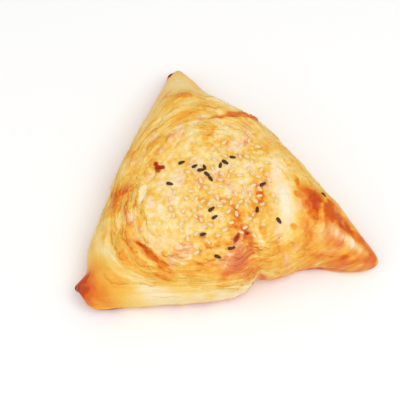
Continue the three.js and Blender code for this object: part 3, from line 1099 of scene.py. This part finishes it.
    def marked(self, spots: Spots, brown: Array, red: Array, ragged: Array) -> tuple[Array, Array, Array]:
        """Add the patches, the pale ribbon, the scorches and the red juice.

        Args:
            spots: Places on the crown.
            brown: Browning so far.
            red: Redness so far.
            ragged: How far each mark's edge reaches there, about 1.

        Returns:
            Browning, redness and juice, each from 0 to 1.
        """
        x, y = spots.x, spots.y
        seen = 1 - self.form.steep_back(spots)
        for patch in self.patches:
            weight = seen * patch.weight(x, y) * (ragged if patch.amount > 0 else 1)
            brown = brown + patch.amount * weight
            red = red + patch.red * weight
        offset, ends = self.ribbon.line(x, y)
        brown = brown - self.ribbon_paleness * ends * hump(offset, self.ribbon.width)
        over = np.maximum(brown - self.softening_from, 0)
        softened = self.softening_room * np.tanh(over / self.softening_room)
        brown = np.minimum(brown, self.softening_from) + softened
        tattered = ragged + blend(self.tatters, x, y)
        for scorch in self.scorches:
            weight = seen * smoothstep(*self.scorch_edge, scorch.weight(x, y) * tattered)
            brown = brown + np.maximum(scorch.amount - brown, 0) * weight
            red = red * (1 - self.scorch_hides * weight) + scorch.red * weight
        juice = np.zeros_like(brown)
        for burst in self.bursts:
            wet = smoothstep(*self.burst_edge, burst.weight(x, y) * ragged)
            juice = np.maximum(juice, burst.amount * wet)
        return np.clip(brown, 0, 1), np.clip(red, 0, 1), np.clip(juice, 0, 1)

    def liveliness(self, x: Array, y: Array) -> Array:
        """How lively the browning's patterns are.

        Args:
            x: Places across the plan.
            y: Places along the plan.

        Returns:
            1, and less on the places that stayed calm.
        """
        lively = np.ones_like(x)
        for calm in self.calm_places:
            lively = lively * (1 - calm.amount * calm.weight(x, y))
        return lively

    def sheets_at(self, spots: Spots, wall: Array) -> tuple[Array, Array, Array]:
        """Where the thin sheets and the pebbly bubbles show, and places along and across the sheets.

        Args:
            spots: Places on the crown.
            wall: How far down the wall below them, from 0 at the rim to 1 at the base.

        Returns:
            The sheets' and the bubbles' plainness from 0 to 1, and for each place two slow coordinates along
            the sheets and a fast one across them, in millimetres over the streaks' own length and width.
        """
        form, x, y = self.form, spots.x, spots.y
        u, v = form.unrolled(spots)
        calm, lively = form.ear_calm(spots), self.liveliness(x, y)
        reach, waves, phase = self.sheet_wave
        wander = blend(self.sheet_drift, u, v) + reach * np.sin(waves * spots.bearing + phase)
        down = np.hypot(u - x, v - y) + form.undercut * wall
        across = spots.layer * form.nominal_radius + down + wander
        plain = form.layer_strength(spots) * calm + self.ear_sheets * form.right_ear(spots)
        plain = plain * self.sheet_contrast * (self.sheet_cloud_level + self.sheet_clouds.at(u, v)) * lively
        plain = np.clip(plain, 0, 1)
        plain = plain + (self.wall_sheets - plain) * wall
        pebbly = self.least_pebbling + (1 - self.least_pebbling) * smoothstep(*self.pebbled_from, spots.layer)
        length, width = self.streak_length, self.streak_width
        sheet = np.stack([x / length, y / length, across / width], axis=-1)
        return plain, np.clip(pebbly * calm * lively, 0, 1), sheet

    def looks(self, spots: Spots, wall: Array) -> Looks:
        """Looks of places on the crown; wall tells how far down the wall below them the sheets go on."""
        return Looks(*self.crown_browning(spots), *self.sheets_at(spots, wall))

    def lower_browning(self, brown: Array, wall: Array, bearing: Array, places: Array) -> Array:
        """Browning from the rim down: the wall, the edge that met the tray with painted shade under the rim,
        and the underside.

        Args:
            brown: Browning as on the rim above.
            wall: 0 on the crown, up to 1 at the base's edge and under it.
            bearing: Directions from the swirl's middle.
            places: The places, in millimetres.

        Returns:
            Browning from 0 to 1.
        """
        x, y = places[:, 0], places[:, 1]
        mottle = blend(self.mottle, x, y)
        pressed = self.tray_marks * smoothstep(*self.tray_marks_from, self.tray_marked.at(x, y) + mottle)
        under = self.underside + mottle + pressed - self.seam_paleness * self.form.seam(x, y)
        wall_brown = self.wall_tone + self.wall_mottling * mottle
        brown = brown + (wall_brown - brown) * smoothstep(*self.wall_from, wall)
        brown = brown + (under - brown) * smoothstep(*self.underside_from, wall)
        # The band down the wall is the burnt edge that met the tray and painted shade under the rim, darkest
        # at two bearings
        shade_and_burns = sum(hump(wrapped(bearing - burn), span) for burn, span in self.shade_and_tray_burns)
        uneven = self.shade_and_tray_edge_level + blend(self.shade_and_tray_edge_mottle, x, y) + self.shade_and_tray_burn * shade_and_burns
        band = smoothstep(*self.shade_and_tray_edge_from, wall) * (1 - smoothstep(*self.shade_and_tray_edge_until, wall))
        return np.clip(brown + self.shade_and_tray_edge * uneven * band, 0, 1)

    def looks_anywhere(self, turn: Array, bearing: Array, places: Array) -> Looks:
        """Looks of places anywhere on the pastry.

        Args:
            turn: 0 in the crown's middle and 1 in the base's middle.
            bearing: Directions from the swirl's middle.
            places: The same places, in millimetres.

        Returns:
            Their looks.
        """
        form = self.form
        wall = form.wall(turn)
        looks = self.looks(form.spots(form.crowd_share(turn), bearing), wall)
        looks.browning = self.lower_browning(looks.browning, wall, bearing, places)
        looks.redness = looks.redness * (1 - wall)
        looks.juice = looks.juice * (1 - wall)
        under = turn > form.base_turn
        looks.sheet[under] = places[under] / self.under_lump
        # The streaks take other places under the base, so they fade where the wall meets it
        looks.layering = looks.layering * smoothstep(*self.base_edge_fade, np.abs(turn - form.base_turn))
        return looks


TIMES = {"operation": "MULTIPLY"}
PLUS = {"operation": "ADD"}
TIMES_PLUS = {"operation": "MULTIPLY_ADD"}
SOFT = {"interpolation_type": "SMOOTHSTEP"}
COLOURS = {"data_type": "RGBA"}


@dataclass(frozen=True)
class BakedCrust:
    """Egg-washed flaky dough, baked: waxy where the wash set, dull in the cracks, crisp where it browned."""

    name: str = "egg-washed baked flaky dough"
    stops: tuple[tuple[float, str], ...] = (
        (0.0, "#F8E9CA"), (0.17, "#F6D586"), (0.34, "#F1BE50"), (0.5, "#EEA135"), (0.68, "#E06C0E"),
        (0.85, "#C04208"), (1.0, "#4A2010"),
    )
    pink: str = "#E2865C"
    pale_pink: str = "#FBD8BE"
    juice: str = "#A82804"
    grain_mm: float = 0.5
    pebble_mm: float = 1.1
    blotch_mm: float = 3.0
    streak_tint: float = 0.11
    pebble_tint: float = 0.1
    blotch_tint: float = 0.1
    fleck_tint: float = 0.26
    relief_mm: float = 0.34

    def make(self) -> bpy.types.Material:
        """Build the material.

        Returns:
            The baked dough, coloured by the piece's own browning, redness and thin sheets.
        """
        # Set egg wash gives a soft broken gleam; the pale dough under it lets a little light through
        material, shader = new_material(self.name, {
            "IOR": 1.45, "Specular IOR Level": 0.18, "Coat Weight": 0.07, "Coat Roughness": 0.25,
            "Subsurface Weight": 0.04, "Subsurface Radius": (1.0, 0.5, 0.2), "Subsurface Scale": 0.5 * MM,
        })
        tree = material.node_tree
        place = add_node(tree, "TexCoord").outputs["Object"]
        sheet = add_node(tree, "Attribute", {"attribute_name": "sheet"}).outputs["Vector"]
        browning, redness, juice, layering, pebbling = (
            add_node(tree, "Attribute", {"attribute_name": name}).outputs["Fac"]
            for name in ("browning", "redness", "juice", "layering", "pebbling")
        )
        # The lumps of a noise are about half a unit across, so a size in millimetres is doubled
        lumps = [(place, 1 / (2 * size * MM)) for size in (self.grain_mm, self.pebble_mm, self.blotch_mm)]
        grain, pebble, blotch, streak = (
            add_node(tree, "TexNoise", Vector=where, Scale=scale, Detail=3.0, Roughness=0.6).outputs["Fac"]
            for where, scale in (*lumps, (sheet, 1.0))
        )
        # Each pattern moves the browning about its own mean, with the contrast of broken dough
        tints = ((streak, self.streak_tint), (pebble, self.pebble_tint), (blotch, self.blotch_tint))
        streaky, pebbled, blotched = (
            add_node(tree, "MapRange", SOFT, Value=noise, i1=0.36, i2=0.64, i3=-tint, i4=tint).outputs[0]
            for noise, tint in tints
        )
        streaky = add_node(tree, "Math", TIMES, i0=streaky, i1=layering).outputs[0]
        lumpy = add_node(tree, "Math", PLUS, i0=pebbled, i1=blotched).outputs[0]
        pattern = add_node(tree, "Math", TIMES_PLUS, i0=lumpy, i1=pebbling, i2=streaky).outputs[0]
        # The patterns fade where the dough never toasted, and where it is too dark to show them
        toasted = add_node(tree, "MapRange", Value=browning, i1=0.02, i2=0.28, i3=0.3, i4=1.0).outputs[0]
        not_dark = add_node(tree, "MapRange", Value=browning, i1=0.55, i2=0.85, i3=1.0, i4=0.3).outputs[0]
        lively = add_node(tree, "Math", TIMES, i0=toasted, i1=not_dark).outputs[0]
        level = add_node(tree, "Math", TIMES_PLUS, i0=pattern, i1=lively, i2=browning).outputs[0]
        # The highest grains caught the heat first and show as small brown flecks
        flecks = add_node(tree, "MapRange", Value=grain, i1=0.64, i2=0.72, i4=self.fleck_tint).outputs[0]
        flecks = add_node(tree, "Math", TIMES, i0=flecks, i1=lively).outputs[0]
        level = add_node(tree, "Math", {**PLUS, "use_clamp": True}, i0=level, i1=flecks).outputs[0]
        stained = self.stain(tree, level, redness, juice)
        tree.links.new(stained, shader.inputs["Base Color"])
        # Set egg wash is smoother on the browned tops than in the floury hollows
        gloss = add_node(tree, "MapRange", Value=level, i1=0.0, i2=1.0, i3=0.55, i4=0.36).outputs[0]
        tree.links.new(gloss, shader.inputs["Roughness"])
        # Each thin sheet ends in a small step on the next, and bubbles and grains stand between them
        steps = add_node(tree, "MapRange", SOFT, Value=streak, i1=0.47, i2=0.53, i3=0.0, i4=0.55).outputs[0]
        steps = add_node(tree, "Math", TIMES, i0=steps, i1=layering).outputs[0]
        bumps = add_node(tree, "Math", TIMES_PLUS, i0=grain, i1=0.5, i2=pebble).outputs[0]
        height = add_node(tree, "Math", TIMES_PLUS, i0=bumps, i1=pebbling, i2=steps).outputs[0]
        bump = add_node(tree, "Bump", Strength=0.9, Distance=self.relief_mm * MM, Height=height)
        tree.links.new(bump.outputs["Normal"], shader.inputs["Normal"])
        return material

    def stain(self, tree: bpy.types.NodeTree, level: bpy.types.NodeSocket, redness: bpy.types.NodeSocket,
              juice: bpy.types.NodeSocket) -> bpy.types.NodeSocket:
        """Colour of the dough at each degree of browning, with the pink and the juice of the filling.

        Args:
            tree: The material's node tree.
            level: Degree of browning.
            redness: How far the colour runs to pink.
            juice: How far red juice stained it.

        Returns:
            The colour's output.
        """
        ramp = add_node(tree, "ValToRGB", Fac=level)
        elements = ramp.color_ramp.elements
        for position, _ in self.stops[1:-1]:
            elements.new(position)
        for element, (position, colour) in zip(elements, self.stops):
            element.position = position
            element.color = linear(colour)
        # Fat and meat show through as pink: faint where the dough is pale, strong where it browned; the pale
        # pink also paints the highlight streak on the right ear
        browned = add_node(tree, "MapRange", Value=level, i1=0.2, i2=0.5).outputs[0]
        pale_pink, pink, red = (linear(colour) for colour in (self.pale_pink, self.pink, self.juice))
        through = add_node(tree, "Mix", COLOURS, i0=browned, i6=pale_pink, i7=pink).outputs[2]
        blush = add_node(tree, "Math", TIMES, i0=redness, i1=0.6).outputs[0]
        tint = add_node(tree, "Mix", COLOURS, i0=blush, i6=ramp.outputs["Color"], i7=through).outputs[2]
        return add_node(tree, "Mix", COLOURS, i0=juice, i6=tint, i7=red).outputs[2]


def add_piece(name: str, mesh: bpy.types.Mesh, material: bpy.types.Material) -> bpy.types.Object:
    """Put a finished mesh in the scene as a piece of the pastry.

    Args:
        name: Name of the piece.
        mesh: Its mesh, already in place.
        material: Its finish.

    Returns:
        The piece, riding on the pastry's body.
    """
    mesh.materials.append(material)
    mesh.polygons.foreach_set("use_smooth", np.ones(len(mesh.polygons), dtype=bool))
    piece = place_object(name, mesh)
    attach(piece, BODY)
    LOG.info("%s: %d faces", name, len(mesh.polygons))
    return piece


@dataclass
class Crust:
    """The whole outer crust, from the crown round the rim to the seamed underside."""

    form: PastryForm
    colour: OvenColour
    sectors: int = 135
    rings: int = 45
    cuts: int = 3

    def build(self) -> bpy.types.Mesh:
        """Make the crust from a sphere whose poles go to the middles of the crown and the base.

        Returns:
            The crust's mesh in metres, with its looks at every point.
        """
        shell = bmesh.new()
        bmesh.ops.create_uvsphere(shell, u_segments=self.sectors, v_segments=self.rings, radius=1.0)
        bmesh.ops.subdivide_edges(shell, edges=shell.edges[:], cuts=self.cuts, use_grid_fill=True)
        mesh = as_mesh(shell, "crust")
        ball = np.empty(len(mesh.vertices) * 3)
        mesh.vertices.foreach_get("co", ball)
        ball = ball.reshape(-1, 3)
        turn = np.arccos(np.clip(ball[:, 2] / np.linalg.norm(ball, axis=1), -1, 1)) / np.pi
        bearing = self.form.crowd_bearings(np.arctan2(ball[:, 1], ball[:, 0]) / WHOLE_TURN)
        places = self.form.surface(turn, bearing)
        mesh.vertices.foreach_set("co", (places * MM).ravel())
        self.colour.looks_anywhere(turn, bearing, places).paint(mesh)
        mesh.update()
        return mesh

    def dress(self, material: bpy.types.Material) -> bpy.types.Object:
        """Build the crust, give it its finish and let it stand for the solid.

        Args:
            material: The baked dough.

        Returns:
            The crust.
        """
        piece = add_piece("crust", self.build(), material)
        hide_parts(NODE)
        return piece


@dataclass(frozen=True)
class Flake:
    """One loose edge of a dough sheet: its place on the crown and its size in millimetres."""

    share: float
    bearing: float
    length: float
    width: float
    lift: float


@dataclass
class LiftedFlakes:
    """Thin edges of the outermost dough sheets that came loose in the oven, with ragged brown rims."""

    form: PastryForm
    colour: OvenColour
    count: int = 140
    seed: int = 23
    shares: Pair = (0.34, 0.97)
    least_luck: float = 0.1
    luck: Pair = (0, 0.7)
    length_mm: Pair = (3.5, 13.0)
    width_mm: Pair = (1.2, 3.0)
    lift_mm: Pair = (0.15, 0.42)
    sunk_mm: float = 0.25
    thickness_mm: float = 0.22
    steps: int = 16
    strips: int = 4
    tip_width: float = 0.25
    tip_sinking: float = 1.6
    ragged: Pair = (0.7, 0.5)
    rags: float = 5
    rag_shift: Pair = (3.7, 1.3)
    bend_share: float = 0.012
    bend_waves: Pair = (2, 3)
    rim_most: float = 0.99
    edge_browning: float = 0.14
    browned_until: Pair = (0.75, 0.45)

    def draw_flakes(self) -> list[Flake]:
        """Draw where flakes lifted, only where the sheets show plainly.

        Returns:
            The flakes.
        """
        draw = np.random.RandomState(self.seed)
        flakes: list[Flake] = []
        while len(flakes) < self.count:
            share, bearing, luck = (draw.uniform(*span) for span in (self.shares, (-np.pi, np.pi), self.luck))
            sizes = [draw.uniform(*span) for span in (self.length_mm, self.width_mm, self.lift_mm)]
            spots = self.form.spots(np.array([share]), np.array([bearing]))
            plain, _, _ = self.colour.sheets_at(spots, np.zeros(1))
            if plain[0] > luck + self.least_luck:
                flakes.append(Flake(share, bearing, *sizes))
        return flakes

    def bend(self, verts: list[bmesh.types.BMVert], flake: Flake, number: int) -> tuple[Array, Array, Array]:
        """Lay a flat grid on the crown as one flake, its inner edge and its tips sunk in the crust.

        Args:
            verts: The grid's vertices, from -1 to 1 both ways.
            flake: The flake.
            number: Which flake it is, for its own ragged edge.

        Returns:
            Each vertex's share of the crown's radius, its bearing, and 0 on the sunk edge to 1 on the loose.
        """
        form = self.form
        along = np.array([vert.co.x for vert in verts])
        out = (np.array([vert.co.y for vert in verts]) + 1) / 2
        middle = form.spots(np.array([flake.share]), np.array([flake.bearing]))
        radius, rim = middle.radius[0], form.rim(middle.bearing)[0]
        taper = self.tip_width + (1 - self.tip_width) * (1 - along ** 4)
        row, column = along * self.rags + number * self.rag_shift[0], number * self.rag_shift[1]
        ragged = self.ragged[0] + self.ragged[1] * FLAKES.at(row, np.full_like(along, column))
        bearing = wrapped(flake.bearing + along * flake.length / 2 / radius)
        share = flake.share + (out - 0.5) * flake.width * taper * ragged / rim
        wave_along, wave_round = self.bend_waves
        share = share + self.bend_share * STREAKS.at(along * wave_along + number, bearing * wave_round)
        sinking = self.sunk_mm * ((1 - out) ** 2 + self.tip_sinking * along ** 6)
        spots = form.spots(np.clip(share, 0, self.rim_most), bearing)
        for vert, place in zip(verts, form.crown_points(spots, flake.lift * taper * out ** 2 - sinking) * MM):
            vert.co = place
        return share, bearing, out

    def build(self) -> bpy.types.Mesh:
        """Make every flake as a bent strip, colour it as the crust there, and give it thickness.

        Returns:
            One mesh of all the flakes, in metres, with their looks.
        """
        sheets = bmesh.new()
        bent = []
        for number, flake in enumerate(self.draw_flakes()):
            grid = bmesh.ops.create_grid(sheets, x_segments=self.steps, y_segments=self.strips, size=1.0)
            bent.append(self.bend(grid["verts"], flake, number))
        sheets.normal_update()
        for face in sheets.faces:
            if face.normal.z < 0:
                face.normal_flip()
        mesh = bpy.data.meshes.new("lifted_flakes")
        sheets.to_mesh(mesh)
        self.tone(*(np.concatenate(values) for values in zip(*bent))).paint(mesh)
        sheets.clear()
        sheets.from_mesh(mesh)
        outer = bmesh.ops.extrude_face_region(sheets, geom=sheets.faces[:])["geom"]
        for vert in (part for part in outer if isinstance(part, bmesh.types.BMVert)):
            vert.co += vert.normal * self.thickness_mm * MM
        sheets.to_mesh(mesh)
        sheets.free()
        return mesh

    def tone(self, share: Array, bearing: Array, out: Array) -> Looks:
        """Looks of the flakes: the crust's own, browner towards the loose edges unless it is brown already.

        Args:
            share: Share of the crown's radius of every point.
            bearing: Its direction from the swirl's middle.
            out: 0 on a flake's sunk edge and 1 on its loose one.

        Returns:
            Their looks.
        """
        looks = self.colour.looks(self.form.spots(np.clip(share, 0, 1), bearing), np.zeros_like(share))
        toasted = self.edge_browning * out ** 3 * smoothstep(*self.browned_until, looks.browning)
        looks.browning = np.clip(looks.browning + toasted, 0, 1)
        return looks

    def dress(self, material: bpy.types.Material) -> bpy.types.Object:
        """Build the flakes in the crust's own finish."""
        return add_piece("lifted_flakes", self.build(), material)


class Sesame(Enum):
    """The two kinds of sesame on the crust."""

    BLACK = "black"
    WHITE = "white"


@dataclass(frozen=True)
class SeedCoat:
    """Dry sesame hull: a faint satin gleam over a speckled skin."""

    kind: Sesame
    speckle_mm: float = 0.4
    pit_mm: float = 0.05

    def make(self) -> bpy.types.Material:
        """Build the material.

        Returns:
            The hull's finish for this kind of sesame.
        """
        colours = {Sesame.BLACK: ("#27140A", "#5C3A1E"), Sesame.WHITE: ("#E4C084", "#F8E5BC")}[self.kind]
        # A toasted hull is dry and finely pitted, so it has only a broad satin gleam; its speckles are finer
        # in life and are drawn as coarse as they need to show
        material, shader = new_material(f"{self.kind.value} sesame hull", {"Roughness": 0.55, "IOR": 1.4})
        tree = material.node_tree
        place = add_node(tree, "TexCoord").outputs["Object"]
        speckle = add_node(tree, "TexNoise", Vector=place, Scale=1 / (2 * self.speckle_mm * MM), Detail=2.0)
        speckle = speckle.outputs["Fac"]
        dark, light = (linear(colour) for colour in colours)
        skin = add_node(tree, "Mix", COLOURS, i0=speckle, i6=dark, i7=light)
        tree.links.new(skin.outputs[2], shader.inputs["Base Color"])
        bump = add_node(tree, "Bump", Strength=0.3, Distance=self.pit_mm * MM, Height=speckle)
        tree.links.new(bump.outputs["Normal"], shader.inputs["Normal"])
        return material


@dataclass
class SesameScatter:
    """All the seeds of one kind, laid flat on the crust where the solid has them."""

    kind: Sesame
    size: tuple[float, float, float]
    places: list[tuple[float, float, float]]
    taper: float = 0.42
    fullness: float = 0.12
    flatness: float = 2.0
    lift: float = 0.3
    growth: float = 0.1
    growth_step: float = 2.4
    bluntness: float = 0.05
    sides: int = 10
    rings: int = 7

    def build(self, crust: bpy.types.Object) -> bpy.types.Mesh:
        """Make every seed as a teardrop and lay it on the crust under its place.

        Args:
            crust: The crust that carries the seeds.

        Returns:
            One mesh of all the seeds, in metres.
        """
        seeds = bmesh.new()
        for number, (x, y, turn) in enumerate(self.places):
            hit, spot, up, _ = crust.ray_cast(Vector((x * MM, y * MM, 1.0)), Vector((0, 0, -1)))
            if not hit:
                raise RuntimeError(f"no crust under the seed at {x}, {y}")
            made = bmesh.ops.create_uvsphere(seeds, u_segments=self.sides, v_segments=self.rings, radius=0.5)
            self.shape(made["verts"], number)
            up = (up + Vector((0, 0, self.flatness))).normalized()
            heading = Vector((math.cos(turn), math.sin(turn), 0))
            heading = (heading - up * heading.dot(up)).normalized()
            place = Matrix((up.cross(heading), up, heading)).transposed().to_4x4()
            place.translation = spot + up * self.lift * MM
            bmesh.ops.transform(seeds, matrix=place, verts=made["verts"])
        return as_mesh(seeds, f"{self.kind.value}_sesame")

    def shape(self, verts: list[bmesh.types.BMVert], number: int) -> None:
        """Pull a ball into one teardrop seed, each a little unlike the last.

        Args:
            verts: The ball's vertices, half a unit from its middle.
            number: Which seed it is, for its own size.
        """
        length, width, thickness = self.size
        growth = 1 + self.growth * math.sin(self.growth_step * number)
        for vert in verts:
            girth = 1 - self.taper * (vert.co.z + 0.5)
            girth *= max(1 - (2 * vert.co.z) ** 2, self.bluntness) ** -self.fullness
            vert.co.x *= girth * width * growth * MM
            vert.co.y *= girth * thickness * MM
            vert.co.z *= length * growth * MM

    def dress(self, crust: bpy.types.Object) -> bpy.types.Object:
        """Build the seeds and give them their hull's finish."""
        slot = f"{self.kind.value}_sesame"
        return add_piece(slot, self.build(crust), SeedCoat(self.kind).make())


# Each seed's x and y in millimetres, and its turn
BLACK_SESAME = [
    (-12, 5.9, 0.4), (-3.6, 1.6, 0.05), (-2.1, 3, 1.9), (-0.9, -0.6, -0.8), (0.6, -3, -1.0), (4.8, 3.6, 1.4),
    (6.9, 5.2, -0.6), (10.2, 7.9, -0.1), (-17, -4.7, -0.3), (23.1, -4.1, 0.5), (49.8, -6.3, -0.9),
    (0.9, -17.2, 0.7), (2.2, -20.9, 0.6), (20.4, -16.8, 1.5), (29.6, -20.8, -1.0), (-2.6, -28.4, 0.3),
    (9.3, -33.5, 0.2), (3.5, -36.9, -0.4), (-6.3, 3.7, 0.5),
]


@dataclass
class WhiteStrewing:
    """The hand that strewed the white sesame: thickest near the middle, no two seeds on one spot."""

    count: int = 90
    centre: Pair = (6.0, -9.0)
    reach: Pair = (25.0, 31.0)
    turn: float = -0.45
    gathering: float = 0.45
    clearance: float = 2.7
    state: int = 7159
    multiplier: int = 16807
    modulus: int = 2147483647

    def draw(self) -> float:
        """Next repeatable draw between 0 and 1."""
        self.state = self.state * self.multiplier % self.modulus
        return self.state / self.modulus

    def places(self) -> list[tuple[float, float, float]]:
        """Strew the seeds, clear of each other and of the black ones.

        Returns:
            The seeds' x and y in millimetres, and their turn.
        """
        taken = [(x, y) for x, y, _ in BLACK_SESAME]
        seeds: list[tuple[float, float, float]] = []
        while len(seeds) < self.count:
            out = math.sqrt(self.draw()) * (1 - self.gathering + self.gathering * self.draw())
            bearing, turn = WHOLE_TURN * self.draw(), WHOLE_TURN * self.draw()
            along, aside = self.reach[0] * out * math.cos(bearing), self.reach[1] * out * math.sin(bearing)
            x = self.centre[0] + along * math.cos(self.turn) - aside * math.sin(self.turn)
            y = self.centre[1] + along * math.sin(self.turn) + aside * math.cos(self.turn)
            if all(math.hypot(tx - x, ty - y) > self.clearance for tx, ty in taken):
                taken.append((x, y))
                seeds.append((x, y, turn))
        return seeds


@dataclass(frozen=True)
class SoftLamp:
    """One square soft light that faces the pastry, in metres and watts."""

    name: str
    place: tuple[float, float, float]
    size: float
    power: float

    def hang(self) -> None:
        """Hang the light in the scene."""
        lamp = bpy.data.lights.new(self.name, "AREA")
        lamp.shape = "SQUARE"
        lamp.size = self.size
        lamp.energy = self.power
        light = place_object(self.name, lamp)
        light.location = self.place
        light.rotation_euler = (-Vector(self.place)).to_track_quat("-Z", "Y").to_euler()


@dataclass
class Studio:
    """Plain pale floor, soft light from all round, most from the front right, and the photograph's camera."""

    elevation: float = 63.0
    distance: float = 500.0
    lens: float = 100.0
    target: tuple[float, float, float] = (-4.0, -0.9, 12.0)
    floor_size: float = 6.0
    floor_colour: str = "#FDFDFC"
    surround: str = "#FFFFFF"
    surround_strength: float = 0.58
    lamps: tuple[SoftLamp, ...] = (
        SoftLamp("key", (0.3, -0.3, 0.9), 0.7, 4.6), SoftLamp("fill", (-0.6, -0.3, 0.7), 0.8, 1.6),
    )

    def lay_floor(self) -> None:
        """Lay the floor."""
        sheet = bmesh.new()
        bmesh.ops.create_grid(sheet, x_segments=1, y_segments=1, size=self.floor_size / 2)
        mesh = as_mesh(sheet, "floor")
        # Uncoated paper scatters the light, so it shows soft shadows and no reflection
        paper = {"Base Color": linear(self.floor_colour), "Roughness": 0.9}
        mesh.materials.append(new_material("matt white paper", paper)[0])
        floor = place_object("floor", mesh)

    def light(self) -> None:
        """Light the pastry from a pale surround and the two soft lamps."""
        world = bpy.data.worlds.new("pale surround")
        world.use_nodes = True
        sky = world.node_tree.nodes["Background"]
        sky.inputs["Color"].default_value = linear(self.surround)
        sky.inputs["Strength"].default_value = self.surround_strength
        bpy.context.scene.world = world
        for lamp in self.lamps:
            lamp.hang()
        bpy.context.scene.view_settings.view_transform = "Standard"

    def set_camera(self) -> None:
        """Set the camera at the photograph's angle."""
        tilt = math.radians(self.elevation)
        lens = bpy.data.cameras.new("camera")
        lens.lens = self.lens
        lens.sensor_width = 36.0
        lens.clip_start = 0.01
        camera = place_object("camera", lens)
        back = Vector((0, -math.cos(tilt), math.sin(tilt)))
        camera.location = (Vector(self.target) + back * self.distance) * MM
        camera.rotation_euler = (math.pi / 2 - tilt, 0, 0)
        bpy.context.scene.camera = camera


def main() -> None:
    """Build and dress the pastry, then the studio round it."""
    logging.basicConfig(level=logging.INFO, format="%(name)s: %(message)s")
    studio = Studio()
    studio.set_camera()
    form = PastryForm()
    white_seeds = WhiteStrewing().places()
    colour = OvenColour(form, white_seeds)
    dough = BakedCrust().make()
    crust = Crust(form, colour).dress(dough)
    LiftedFlakes(form, colour).dress(dough)
    bpy.context.view_layer.update()
    SesameScatter(Sesame.BLACK, (3.1, 1.9, 1.1), BLACK_SESAME, flatness=4.0).dress(crust)
    SesameScatter(Sesame.WHITE, (2.6, 1.7, 0.95), white_seeds, taper=0.3).dress(crust)
    studio.lay_floor()
    studio.light()


if __name__ == "__main__":
    main()
